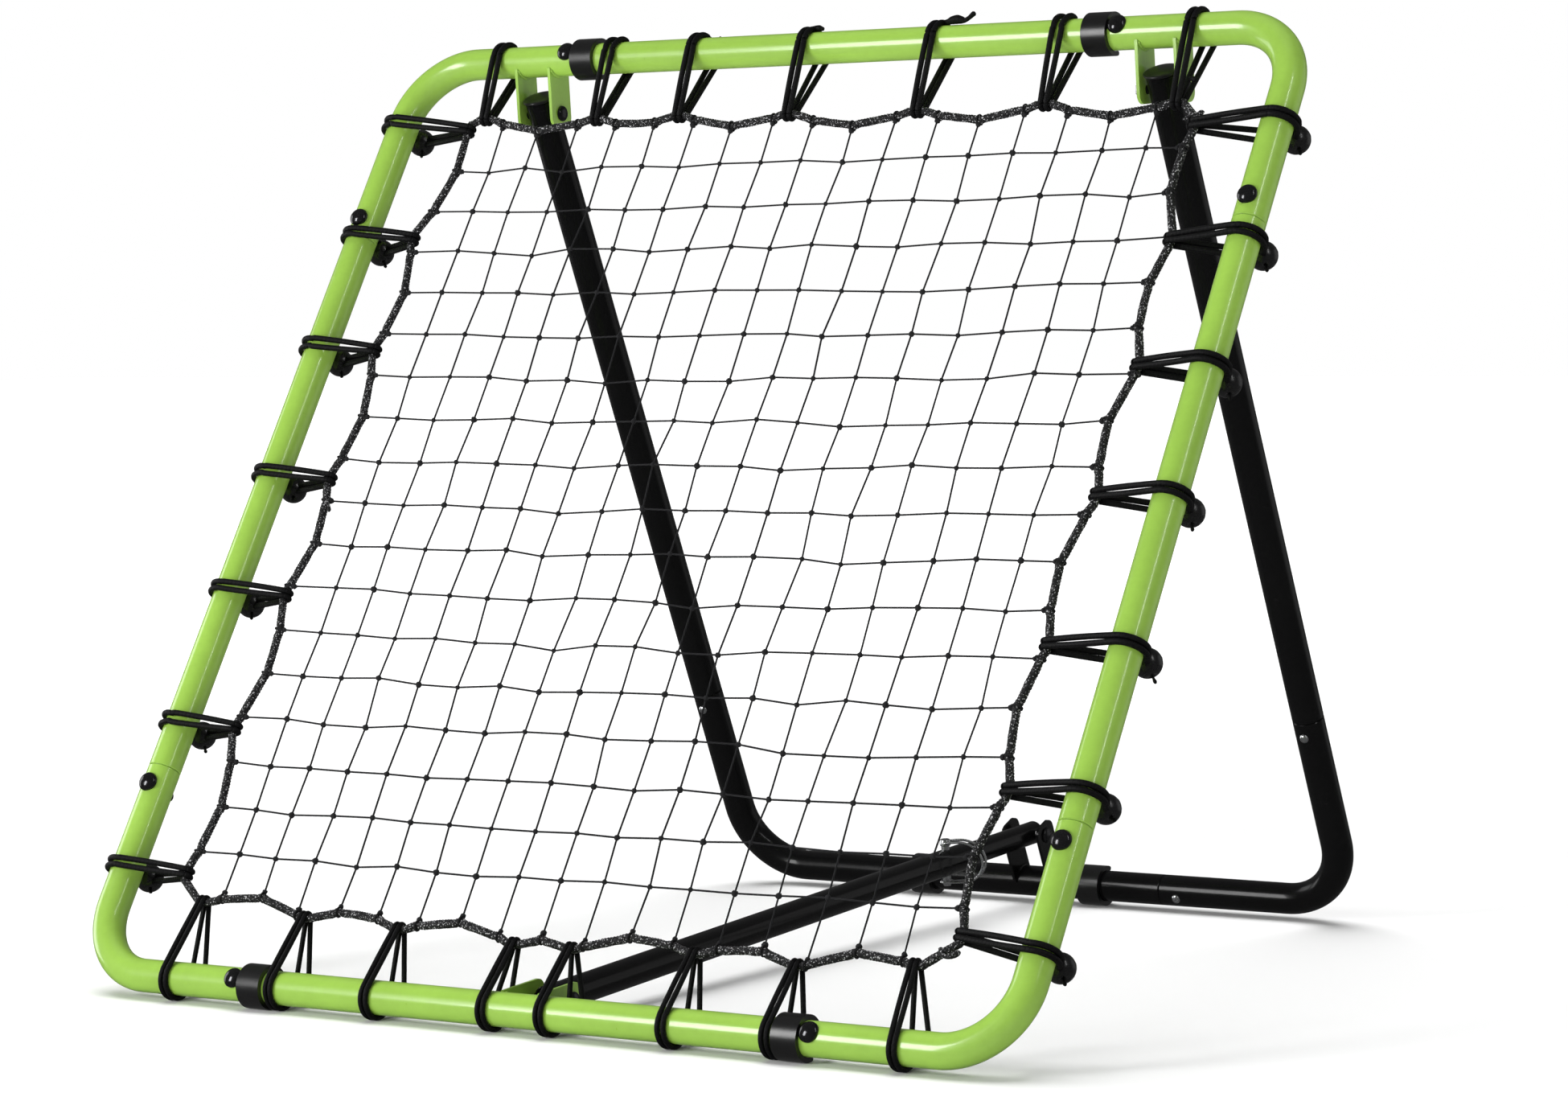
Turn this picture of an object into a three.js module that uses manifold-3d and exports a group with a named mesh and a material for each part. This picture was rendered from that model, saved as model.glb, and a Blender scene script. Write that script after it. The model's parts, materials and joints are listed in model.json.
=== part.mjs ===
// A pitch back rebounder: a square bent-tube frame with a knotted net laced into it by
// elastic ball ties, a U-shaped stand hinged to its top tube, and a telescoping strut with
// a wire lock pin that sets how far the frame leans back.
//
// Millimetres. +X right, +Y back, +Z up. The origin is on the floor, under the middle.

import * as THREE from 'three';
import * as BufferGeometryUtils from 'three/addons/utils/BufferGeometryUtils.js';
import Module from 'manifold-3d';

const wasm = await Module();
wasm.setup();

// ---- Driving dimensions ----------------------------------------------------------------

const rad = THREE.MathUtils.degToRad;
const { cos, sin, acos, hypot, PI } = Math;

const GAP = 0.3; // air left between pieces that touch

// Tubes, the same for the frame and the stand.
const TUBE_R = 15;
const BORE_R = 13.6; // measured across the flats of the bore
const SPIGOT_R = 13.25; // the drawn-in end of a straight tube
const SPIGOT_BORE_R = 12.1;
const SPIGOT_LENGTH = 40;
const TAPER = 2.5; // length of the taper in the bore where a tube is drawn in
const TAPER_INSET = 1; // from that taper to the step outside
const TUBE_SIDES = 14;
const BORE_SIDES = 10;
const BEND_R = 66; // centreline radius of every corner
const BEND_STEPS = 6;
const CORNER_ARM = 201; // from a corner's meeting point to its mouths

// The square frame.
const SPAN = 970; // between the axes of opposite tubes
const HALF = SPAN / 2;
const LEAN = rad(32.5); // from upright, in the lowest of the stand's positions

// The stand.
const LEG_X = 343.6;
const LEG_LENGTH = 835; // hinge to cross tube axis
const LEG_TOP = 15; // tube above the hinge
const CAP_PLUG = 9; // depth of the leg cap's plug
const CAP_RIM = 2;
const CAP_OVERHANG = 1.8; // of its flange past the tube
const CAP_DOME = 4.4;
const HINGE_DROP = 50.5; // top tube axis to hinge
const PLATE_ANGLE = rad(36); // hinge plates from the frame's plane
const PLATE_WIDTH = 30;
const PLATE_THICKNESS = 3;
const PLATE_END = 12.5; // plate past the middle of its bolt
const PLATE_CORNER = 9;
const CORNER_STEPS = 3;
const SADDLE_EDGE = rad(20); // where the plates' saddle ends, down from the tube's middle
const SADDLE_STEPS = 6;
const PLATE_INNER = 18; // middle of a pair of plates to their inner faces
const BRACKET_DROP = 54; // cross tube axis to the strut's rear pivot

// The strut.
const STRUT_REACH = 50; // bottom tube axis to the strut's front pivot
const OUTER_R = 13;
const OUTER_BORE_R = 11.5;
const INNER_R = 11.15;
const INNER_BORE_R = 9.6;
const STRUT_END = 11; // tube past each pivot
const LOCK_AT = 630; // front pivot to lock pin
const OUTER_LENGTH = 660; // front pivot to the outer tube's mouth
const TRAVEL = 469; // from the first lock hole to the last
const PAST_HOLES = 22; // inner tube past its last lock hole
const STRUT_SIDES = 16;

// Bolts and the lock pin.
const BOLT_R = 4;
const BOLT_HOLE_R = 4.4; // across the flats
const BOLT_HEAD_R = 7.5;
const BOLT_HEAD = 4;
const NUT_R = 6.5;
const NUT = 6;
const ROUND_SIDES = 12;
const HOLE_SIDES = 10;
const PIN_R = 4;
const PIN_HALF = 23; // half the pin's length
const PIN_HEAD_R = 7;
const PIN_HEAD = 9;
const WIRE_R = 1.25;
const BAIL_OUT = 23; // the bail's furthest reach beside the strut
const BAIL_SPREAD = 8.6; // from the pin's axis to each of the bail's two wires
const PIN_AIR = 0.7; // round the pin in both tubes
const PAST = 5; // how far a cutting tool runs past what it cuts

// Foot clips, open at the back.
const CLIP_R = 19.75;
const CLIP_WIDTH = 25;
const CLIP_X = 283;
const CLIP_MOUTH = rad(45); // half the opening
const CLIP_FACETS = 24; // outside, to a full turn
const CLIP_STEPS = 14; // inside, from lip to lip
const STAND_CLIPS = { left: -132, right: 64 };

// Net, border rope and ties.
const STRINGS = 15; // each way, for 16 × 16 meshes
const MESH = 51.2;
const STRING_HALF = 1;
const KNOT = 1.4; // how far a crossing stands out, in half strings
const TIE_CLEAR = 1.5; // from a string's end to a tie's cord
const ROPE_R = 3.75;
const ROPE_SIDES = 6;
const HOLD_HALF = 6; // half the straight stretch of rope in a tie's hold
const SCALLOP = 0.09; // how deep the rope bows inward, as a share of the span
const CORD = 3.6; // one strand of the doubled elastic cord
const CORD_SIDES = 6;
const WRAP_STEP = rad(30); // of the cord's turn round the tube
const CATCH_STEPS = 3; // in its turn round the rope
const BALL_R = 12.5;
const BALL_BACK = 40;
const SIDE_BALL_SHIFT = 5; // up the tube, on the left and right sides
const BALL_TILT = 0.25; // of a ball's axis, out of the frame's plane
const BALL_RINGS = [14, 45, 90, 135, 166].map(rad); // round the ball from pole to pole

// Where each tie meets its tube, and where it holds the border rope: along the tube, then
// from the frame's middle out to the rope. A tie that doesn't run straight across to the
// rope has a third number, its hold's place along the tube.
const TIES = {
  top: [[-385, 421], [-251, 416], [-155, 416], [-30, 413], [111, 411], [245, 413], [380, 409]],
  right: [
    [385, 404], [268, 414], [143, 418], [18, 415], [-123, 410], [-256, 413], [-397, 410, -386],
  ],
  bottom: [
    [386, 414, 375], [263, 423], [160, 420], [34, 425],
    [-27, 425], [-154, 420], [-261, 417], [-382, 410],
  ],
  left: [[-384, 414], [-238, 420], [-100, 418], [23, 416], [162, 419], [286, 422], [412, 402, 408]],
};

// ---- Worked out from these -------------------------------------------------------------

const TOP_RISE = SPAN * cos(LEAN);
const TOP_BACK = SPAN * sin(LEAN);
const HINGE = new THREE.Vector2(
  TOP_BACK + HINGE_DROP * sin(PLATE_ANGLE - LEAN),
  TOP_RISE - HINGE_DROP * cos(PLATE_ANGLE - LEAN),
);
const STAND_LEAN = acos(HINGE.y / LEG_LENGTH);
const DEPTH = HINGE.x + LEG_LENGTH * sin(STAND_LEAN);
const STRUT_FRONT = new THREE.Vector2(
  STRUT_REACH * cos(PLATE_ANGLE - LEAN),
  STRUT_REACH * sin(PLATE_ANGLE - LEAN),
);
const STRUT_REAR = new THREE.Vector2(
  DEPTH - BRACKET_DROP * sin(STAND_LEAN),
  BRACKET_DROP * cos(STAND_LEAN),
);
const STRUT_LINE = STRUT_REAR.clone().sub(STRUT_FRONT);
const STRUT_LENGTH = STRUT_LINE.length();
const STRUT_ANGLE = STRUT_LINE.angle();

// ---- Materials -------------------------------------------------------------------------

const finish = (color, roughness, metalness) =>
  new THREE.MeshStandardMaterial({ color, roughness, metalness });
const limePaint = () => finish(0x9bcd4b, 0.38, 0.1);
const blackPaint = () => finish(0x17181a, 0.3, 0.2);
const blackPlastic = () => finish(0x141416, 0.42, 0);
const elasticCord = () => finish(0x121214, 0.8, 0);
const braidedRope = () => finish(0x26272a, 0.9, 0);
const netTwine = () => finish(0x1a1b1e, 0.85, 0);
const zincSteel = () => finish(0xc4c7ca, 0.3, 0.9);

// ---- Solids ----------------------------------------------------------------------------

// Merges a geometry's shared corners, so that only its positions and faces are left.
function welded(geometry) {
  const bare = geometry.clone();
  for (const name of Object.keys(bare.attributes)) {
    if (name !== 'position') bare.deleteAttribute(name);
  }
  return BufferGeometryUtils.mergeVertices(bare, 1e-4);
}

function toSolid(geometry) {
  const mesh = welded(geometry);
  return new wasm.Manifold(new wasm.Mesh({
    numProp: 3,
    vertProperties: new Float32Array(mesh.attributes.position.array),
    triVerts: new Uint32Array(mesh.index.array),
  }));
}

function toGeometry(solid) {
  const mesh = solid.getMesh();
  const geometry = new THREE.BufferGeometry();
  geometry.setAttribute('position', new THREE.BufferAttribute(mesh.vertProperties, 3));
  geometry.setIndex(new THREE.BufferAttribute(mesh.triVerts, 1));
  return geometry;
}

function join(base, ...others) {
  return toGeometry(others.reduce((solid, next) => solid.add(toSolid(next)), toSolid(base)));
}

function cut(base, ...tools) {
  return toGeometry(tools.reduce((solid, next) => solid.subtract(toSolid(next)), toSolid(base)));
}

// Corners of a regular polygon. Across its corners, or across its flats.
function polygon(radius, sides, flats = false) {
  const r = flats ? radius / cos(PI / sides) : radius;
  return Array.from({ length: sides }, (_, i) => {
    const a = (2 * PI * i) / sides;
    return new THREE.Vector2(r * cos(a), r * sin(a));
  });
}

// A profile of [radius, height] pairs turned about Z, wound so that it faces out. It starts
// and ends on the axis, or it stays clear of it and is closed into a ring.
function turned(profile, sides) {
  const points = profile.map(([r, z]) => new THREE.Vector2(r, z));
  if (THREE.ShapeUtils.area(points) < 0) points.reverse();
  if (profile[0][0] > 0) points.push(points[0].clone());
  return new THREE.LatheGeometry(points, sides).rotateX(PI / 2);
}

// A rod along X, used for cross bolts and for the holes that they pass through.
function rodX(radius, from, to, sides = ROUND_SIDES) {
  const rod = new THREE.CylinderGeometry(radius, radius, to - from, sides);
  return rod.rotateZ(PI / 2).translate((from + to) / 2, 0, 0);
}

function holeX(radius, from, to) {
  return rodX(radius / cos(PI / HOLE_SIDES), from, to, HOLE_SIDES);
}

// A rod along Z.
function rodZ(radius, from, to, sides = ROUND_SIDES) {
  const rod = new THREE.CylinderGeometry(radius, radius, to - from, sides);
  return rod.rotateX(PI / 2).translate(0, 0, (from + to) / 2);
}

// ---- Bent corners and straight tubes ---------------------------------------------------

// The centreline of a corner: one arm out along +X and the other up along +Z, from the
// point where the two axes meet. It has one step for each arm and BEND_STEPS in the bend.
class CornerRun extends THREE.Curve {
  station(i) {
    if (i <= 0) return { at: [CORNER_ARM - GAP / 2, 0], heading: PI };
    if (i > BEND_STEPS + 1) return { at: [0, CORNER_ARM - GAP / 2], heading: PI / 2 };
    const turn = ((i - 1) / BEND_STEPS) * (PI / 2);
    const at = [BEND_R - BEND_R * sin(turn), BEND_R - BEND_R * cos(turn)];
    return { at, heading: PI - turn };
  }

  getPointAt(u) {
    const { at } = this.station(Math.round(u * (BEND_STEPS + 2)));
    return new THREE.Vector3(at[0], 0, at[1]);
  }

  getPoint(u) {
    return this.getPointAt(u);
  }

  getTangentAt(u) {
    const { heading } = this.station(Math.round(u * (BEND_STEPS + 2)));
    return new THREE.Vector3(cos(heading), 0, sin(heading));
  }
}

function cornerTube() {
  const section = new THREE.Shape(polygon(TUBE_R, TUBE_SIDES));
  section.holes.push(new THREE.Path(polygon(BORE_R, BORE_SIDES, true).reverse()));
  return new THREE.ExtrudeGeometry(section, {
    steps: BEND_STEPS + 2,
    extrudePath: new CornerRun(),
  });
}

// A straight tube along Z between two heights, drawn in to a spigot at either end or both.
// The step outside is square, and the one in the bore tapers just before it.
function straightTube(from, to, { spigotFrom = false, spigotTo = false } = {}) {
  const bore = BORE_R / cos(PI / TUBE_SIDES);
  const outside = [];
  const inside = [];
  if (spigotFrom) {
    outside.push([SPIGOT_R, from - SPIGOT_LENGTH], [SPIGOT_R, from]);
    inside.push([SPIGOT_BORE_R, from - SPIGOT_LENGTH], [SPIGOT_BORE_R, from + TAPER_INSET]);
  }
  outside.push([TUBE_R, from], [TUBE_R, to]);
  inside.push([bore, spigotFrom ? from + TAPER_INSET + TAPER : from]);
  inside.push([bore, spigotTo ? to - TAPER_INSET - TAPER : to]);
  if (spigotTo) {
    outside.push([SPIGOT_R, to], [SPIGOT_R, to + SPIGOT_LENGTH]);
    inside.push([SPIGOT_BORE_R, to - TAPER_INSET], [SPIGOT_BORE_R, to + SPIGOT_LENGTH]);
  }
  return turned([...outside, ...inside.reverse()], TUBE_SIDES);
}

// ---- Plates that carry the pivots ------------------------------------------------------

// A pair of plates hanging down Z from a tube along X: cut to a saddle that sits in the
// tube's wall, with rounded corners and a bolt hole.
function platePair(drop) {
  const half = PLATE_WIDTH / 2;
  const saddle = (TUBE_R + BORE_R) / 2;
  const outline = new THREE.Shape();
  outline.moveTo(-saddle * cos(SADDLE_EDGE), -saddle * sin(SADDLE_EDGE));
  outline.lineTo(-half, -saddle * sin(SADDLE_EDGE) - 1);
  for (const side of [-1, 1]) {
    for (let i = 0; i <= CORNER_STEPS; i += 1) {
      const turn = ((PI / 2) * i) / CORNER_STEPS;
      const a = side < 0 ? PI + turn : -PI / 2 + turn;
      const x = side * (half - PLATE_CORNER) + PLATE_CORNER * cos(a);
      outline.lineTo(x, PLATE_CORNER - drop - PLATE_END + PLATE_CORNER * sin(a));
    }
  }
  outline.lineTo(half, -saddle * sin(SADDLE_EDGE) - 1);
  for (let i = 0; i < SADDLE_STEPS; i += 1) {
    const a = -SADDLE_EDGE - ((PI - 2 * SADDLE_EDGE) * i) / SADDLE_STEPS;
    outline.lineTo(saddle * cos(a), saddle * sin(a));
  }
  const hole = polygon(BOLT_HOLE_R, HOLE_SIDES, true).map((p) => new THREE.Vector2(p.x, p.y - drop));
  outline.holes.push(new THREE.Path(hole.reverse()));
  return [-PLATE_INNER - PLATE_THICKNESS, PLATE_INNER].map((x) => {
    const plate = new THREE.ExtrudeGeometry(outline, { depth: PLATE_THICKNESS, bevelEnabled: false });
    return standUp(plate).translate(x, 0, 0);
  });
}

// Turns a sheet drawn in X and Y so that it lies in the part's Y and Z, extruded along X.
function standUp(geometry) {
  return geometry.applyMatrix4(new THREE.Matrix4().makeBasis(
    new THREE.Vector3(0, 1, 0),
    new THREE.Vector3(0, 0, 1),
    new THREE.Vector3(1, 0, 0),
  ));
}

// ---- Frame -----------------------------------------------------------------------------

function hingeCorner(side) {
  const plates = platePair(HINGE_DROP).map((plate) =>
    plate.rotateX(PLATE_ANGLE).translate(side * LEG_X, 0, HALF));
  const corner = placeCorner(side, 1);
  return join(corner, ...plates);
}

// One of the frame's four corners, in the frame's own plane about its middle.
function placeCorner(sideX, sideZ) {
  const turns = { '-1,-1': 0, '1,-1': 1, '1,1': 2, '-1,1': 3 };
  const corner = cornerTube().rotateY((-PI / 2) * turns[`${sideX},${sideZ}`]);
  return corner.translate(sideX * HALF, 0, sideZ * HALF);
}

function frameRail() {
  const half = HALF - CORNER_ARM - GAP / 2;
  return straightTube(-half, half, { spigotFrom: true, spigotTo: true });
}

function bottomRail() {
  const rail = frameRail().rotateY(PI / 2);
  const plates = platePair(STRUT_REACH).map((plate) => plate.rotateX(PI / 2 + PLATE_ANGLE));
  return join(rail, ...plates);
}

// ---- Foot clips ------------------------------------------------------------------------

// A springy C round a tube along X, open towards +Y, with rounded lips. One of its outer
// facets faces along `down`, so that it stands flat.
function footClip(down) {
  const inner = TUBE_R + GAP;
  const lip = (CLIP_R - inner) / 2;
  const outline = [];
  const facet = (2 * PI) / CLIP_FACETS;
  const span = 2 * PI - 2 * CLIP_MOUTH;
  // Whole facets either side of the one that stands on the floor.
  const first = Math.ceil((CLIP_MOUTH - down) / facet - 0.5) + 0.5;
  for (let a = down + first * facet; a < CLIP_MOUTH + span; a += facet) {
    const r = CLIP_R / cos(facet / 2);
    outline.push(new THREE.Vector2(r * cos(a), r * sin(a)));
  }
  const end = outline.at(-1).angle();
  const start = outline[0].angle();
  const middle = (inner + CLIP_R) / 2;
  const lipRound = (at, from) => [0.25, 0.5, 0.75].map((t) => {
    const a = from + PI * t;
    return new THREE.Vector2(middle * cos(at) + lip * cos(a), middle * sin(at) + lip * sin(a));
  });
  outline.push(...lipRound(end, end));
  for (let i = 0; i <= CLIP_STEPS; i += 1) {
    const a = end + ((start - end) * i) / CLIP_STEPS;
    const r = inner / cos((end - start) / CLIP_STEPS / 2);
    outline.push(new THREE.Vector2(r * cos(a), r * sin(a)));
  }
  outline.push(...lipRound(start, start + PI));
  const clip = new THREE.ExtrudeGeometry(new THREE.Shape(outline), {
    depth: CLIP_WIDTH,
    bevelEnabled: false,
  });
  return standUp(clip.translate(0, 0, -CLIP_WIDTH / 2));
}

// ---- Net, border rope and ties ---------------------------------------------------------

// The four sides as directions in the frame's plane: `along` the tube, `out` towards it,
// and which way the rope travels along it on its clockwise way round.
const SIDES = {
  top: { along: [1, 0], out: [0, 1], travel: 1 },
  right: { along: [0, 1], out: [1, 0], travel: -1 },
  bottom: { along: [1, 0], out: [0, -1], travel: -1 },
  left: { along: [0, 1], out: [-1, 0], travel: 1 },
};

// Where a tie holds the rope.
function ropePoint(side, [place, reach, hold = place]) {
  const { along, out } = SIDES[side];
  return new THREE.Vector2(along[0] * hold + out[0] * reach, along[1] * hold + out[1] * reach);
}

// The rope's centreline, clockwise from the top left. It runs straight through each tie's
// hold, and between two holds it bows inward.
function ropeLine() {
  const holds = Object.keys(SIDES).flatMap((side) => TIES[side].map((tie) => {
    const { along, travel } = SIDES[side];
    const step = new THREE.Vector2(...along).multiplyScalar(travel * HOLD_HALF);
    const hold = ropePoint(side, tie);
    return { before: hold.clone().sub(step), after: hold.clone().add(step) };
  }));
  return holds.flatMap(({ before, after }, i) => {
    const next = holds[(i + 1) % holds.length].before;
    const middle = after.clone().add(next).divideScalar(2);
    const inward = middle.setLength(-SCALLOP * after.distanceTo(next));
    const bowed = [0.25, 0.75].map((t) => after.clone().lerp(next, t).add(inward));
    return [before, after, ...bowed];
  });
}

// A closed tube round a loop of points. `across` is square to the loop at every point, and
// the section's corners are [out from the loop, along across] pairs. A point that has a
// section of its own takes that one.
function loopTube(points, across, section) {
  const count = points.length;
  const size = section.length;
  const positions = [];
  const index = [];
  points.forEach((point, i) => {
    const before = points[(i + count - 1) % count];
    const after = points[(i + 1) % count];
    const into = point.clone().sub(before).normalize();
    const onward = after.clone().sub(point).normalize();
    const tangent = into.clone().add(onward).normalize();
    const stretch = 1 / Math.max(tangent.dot(onward), 0.6);
    const side = tangent.clone().cross(across).normalize();
    for (const [out, along] of point.section ?? section) {
      const p = point.clone().addScaledVector(side, out * stretch).addScaledVector(across, along);
      positions.push(p.x, p.y, p.z);
    }
    for (let k = 0; k < size; k += 1) {
      const a = i * size + k;
      const b = i * size + ((k + 1) % size);
      const c = ((i + 1) % count) * size + k;
      const d = ((i + 1) % count) * size + ((k + 1) % size);
      index.push(a, b, d, a, d, c);
    }
  });
  const geometry = new THREE.BufferGeometry();
  geometry.setAttribute('position', new THREE.Float32BufferAttribute(positions, 3));
  geometry.setIndex(index);
  return facingOut(geometry);
}

// Turns a closed surface right side out, by the sign of the volume that it holds.
function facingOut(geometry) {
  const p = geometry.attributes.position;
  const index = geometry.index.array;
  const corner = (i) => new THREE.Vector3().fromBufferAttribute(p, index[i]);
  let volume = 0;
  for (let i = 0; i < index.length; i += 3) {
    volume += corner(i).dot(corner(i + 1).cross(corner(i + 2)));
  }
  if (volume < 0) {
    for (let i = 0; i < index.length; i += 3) {
      [index[i + 1], index[i + 2]] = [index[i + 2], index[i + 1]];
    }
  }
  return geometry;
}

function borderRope() {
  const points = ropeLine().map((p) => new THREE.Vector3(p.x, 0, p.y));
  const section = polygon(ROPE_R, ROPE_SIDES).map((p) => [p.x, p.y]);
  return loopTube(points, new THREE.Vector3(0, 1, 0), section);
}

// How far out from the frame's middle a string may run, at `place` along one side, before
// it meets the rope or the cord of a tie looped round it.
function stringEnd(side, place) {
  const { along, out } = SIDES[side];
  const line = ropeLine();
  const on = (p, axis) => p.x * axis[0] + p.y * axis[1];
  let reach = Infinity;
  line.forEach((a, i) => {
    const b = line[(i + 1) % line.length];
    const from = on(a, along);
    const to = on(b, along);
    const t = (place - from) / (to - from);
    const height = on(a, out) + t * (on(b, out) - on(a, out));
    if (t < 0 || t > 1 || height < 0) return;
    const slope = (on(b, out) - on(a, out)) / (to - from);
    const clear = (ROPE_R + GAP) * hypot(1, slope) + STRING_HALF * Math.abs(slope);
    reach = Math.min(reach, height - clear);
  });
  TIES[side].forEach((tie) => {
    const hold = ropePoint(side, tie);
    if (Math.abs(on(hold, along) - place) < CORD + STRING_HALF + TIE_CLEAR) {
      reach = Math.min(reach, on(hold, out) - ROPE_R - CORD - TIE_CLEAR);
    }
  });
  return reach;
}

// The net: upright and level strings of diamond section. At each crossing the four arms
// share the crossing's two apexes and its four corners.
function net() {
  const positions = [];
  const index = [];
  const h = STRING_HALF;
  const line = (i) => (i - (STRINGS - 1) / 2) * MESH;
  const add = (x, y, z) => positions.push(x, y, z) / 3 - 1;
  const crossings = [];
  for (let i = 0; i < STRINGS; i += 1) {
    crossings.push([]);
    for (let j = 0; j < STRINGS; j += 1) {
      const [x, z] = [line(i), line(j)];
      crossings[i].push({
        front: add(x, -h * KNOT, z),
        back: add(x, h * KNOT, z),
        // Corners by quadrant: right or left, then upper or lower.
        ru: add(x + h, 0, z + h),
        lu: add(x - h, 0, z + h),
        ld: add(x - h, 0, z - h),
        rd: add(x + h, 0, z - h),
      });
    }
  }
  // Four faces of an arm between two rings of corners, each ring in the same order.
  const arm = (ring, next) => {
    for (let k = 0; k < 4; k += 1) {
      const l = (k + 1) % 4;
      index.push(ring[k], ring[l], next[l], ring[k], next[l], next[k]);
    }
  };
  const endFace = (ring) => index.push(ring[0], ring[2], ring[1], ring[0], ring[3], ring[2]);
  // Rings as seen from the arm: front, one corner, back, the other corner.
  const upper = (c) => [c.front, c.lu, c.back, c.ru];
  const lower = (c) => [c.front, c.ld, c.back, c.rd];
  const right = (c) => [c.front, c.ru, c.back, c.rd];
  const left = (c) => [c.front, c.lu, c.back, c.ld];
  const last = STRINGS - 1;
  for (let i = 0; i < STRINGS; i += 1) {
    for (let j = 0; j < last; j += 1) {
      arm(upper(crossings[i][j]), lower(crossings[i][j + 1]));
      arm(right(crossings[j][i]), left(crossings[j + 1][i]));
    }
    const s = line(i);
    const top = stringEnd('top', s);
    const bottom = -stringEnd('bottom', s);
    const rightEnd = stringEnd('right', s);
    const leftEnd = -stringEnd('left', s);
    const upright = (z) => [add(s, -h, z), add(s - h, 0, z), add(s, h, z), add(s + h, 0, z)];
    const levelRing = (x) => [add(x, -h, s), add(x, 0, s + h), add(x, h, s), add(x, 0, s - h)];
    const topRing = upright(top);
    arm(upper(crossings[i][last]), topRing);
    endFace([...topRing].reverse());
    const bottomRing = upright(bottom);
    arm(bottomRing, lower(crossings[i][0]));
    endFace(bottomRing);
    const rightRing = levelRing(rightEnd);
    arm(right(crossings[last][i]), rightRing);
    endFace([...rightRing].reverse());
    const leftRing = levelRing(leftEnd);
    arm(leftRing, left(crossings[0][i]));
    endFace(leftRing);
  }
  const geometry = new THREE.BufferGeometry();
  geometry.setAttribute('position', new THREE.Float32BufferAttribute(positions, 3));
  geometry.setIndex(index);
  return facingOut(geometry);
}

// A ball tie: doubled elastic cord, caught on the rope, over the front of the tube and
// round it to a ball behind, and from the ball straight back to the rope. `u` runs from the
// tube to the rope and `v` out of the frame's back.
function ballTie(side, tie, ballShift) {
  const { along, out } = SIDES[side];
  const hold = ropePoint(side, tie);
  const level = side === 'top' || side === 'bottom';
  const tubeAt = new THREE.Vector2(
    along[0] * tie[0] + out[0] * HALF,
    along[1] * tie[0] + out[1] * HALF,
  );
  const reach = HALF - tie[1];
  const shear = hold.clone().sub(tubeAt).dot(new THREE.Vector2(...along)) / reach;
  // Radii of the cord's middle at its corners, so that its flats clear tube and rope.
  const wrap = (TUBE_R + GAP + CORD / 2) / cos(WRAP_STEP / 2);
  const catchR = (ROPE_R + GAP + CORD / 2) / cos(PI / 2 / CATCH_STEPS);
  // The ball sits level behind a level tube, and straight behind an upright one.
  const lift = level ? BALL_BACK * sin(LEAN) * (side === 'top' ? -1 : 1) : 0;
  const back = level ? BALL_BACK * cos(LEAN) : BALL_BACK;
  const ball = new THREE.Vector2(lift, back);
  const at = (u, v) => {
    const drift = Math.max(0, u) * shear;
    const x = tubeAt.x - out[0] * u + along[0] * drift;
    const z = tubeAt.y - out[1] * u + along[1] * drift;
    return new THREE.Vector3(x, v, z);
  };
  const ballAt = at(ball.x, ball.y);
  ballAt.x += along[0] * ballShift;
  ballAt.z += along[1] * ballShift;
  // The cord swells into the ball, whose axis points from the rope's cord to the tube's.
  const axis = at(-1, -BALL_TILT).sub(at(0, 0)).normalize();
  const loop = BALL_RINGS.map((angle) => {
    const ring = ballAt.clone().addScaledVector(axis, -BALL_R * cos(angle));
    ring.section = polygon(BALL_R * sin(angle), CORD_SIDES).map((p) => [p.x, p.y]);
    return ring;
  });
  // Off the ball and round the outside and front of the tube.
  const from = ball.angle() + acos(wrap / ball.length());
  const to = 2 * PI - acos((wrap - catchR) / reach);
  const steps = Math.ceil((to - from) / WRAP_STEP);
  for (let i = 0; i <= steps; i += 1) {
    const a = from + ((to - from) * i) / steps;
    loop.push(at(wrap * cos(a), wrap * sin(a)));
  }
  // Round the rope.
  const start = -acos((wrap - catchR) / reach);
  const toBall = new THREE.Vector2(ball.x - reach, ball.y);
  const end = toBall.angle() - acos(catchR / toBall.length());
  for (let i = 0; i <= CATCH_STEPS; i += 1) {
    const a = start + ((end - start) * i) / CATCH_STEPS;
    loop.push(at(reach + catchR * cos(a), catchR * sin(a)));
  }
  const across = new THREE.Vector3(along[0], 0, along[1]);
  const t = CORD / 2;
  const section = [[t, t], [0, 2 * t], [-t, t], [-t, -t], [0, -2 * t], [t, -t]];
  return loopTube(loop, across, section);
}

// ---- Stand -----------------------------------------------------------------------------

function standLeg() {
  const foot = -(LEG_LENGTH - CORNER_ARM) + GAP / 2;
  const leg = straightTube(foot, LEG_TOP, { spigotFrom: true });
  return cut(leg, holeX(BOLT_HOLE_R, -TUBE_R - PAST, TUBE_R + PAST));
}

// A plug in the leg's open end, with a domed cap whose flange rests on the rim.
function legCap() {
  const rim = LEG_TOP + GAP;
  const flange = TUBE_R + CAP_OVERHANG;
  return turned([
    [0, rim - CAP_PLUG], [SPIGOT_R - 1, rim - CAP_PLUG], [SPIGOT_R, rim - CAP_PLUG + 1],
    [SPIGOT_R, rim], [flange, rim], [flange, rim + CAP_RIM], [0, rim + CAP_DOME],
  ], ROUND_SIDES);
}

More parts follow.
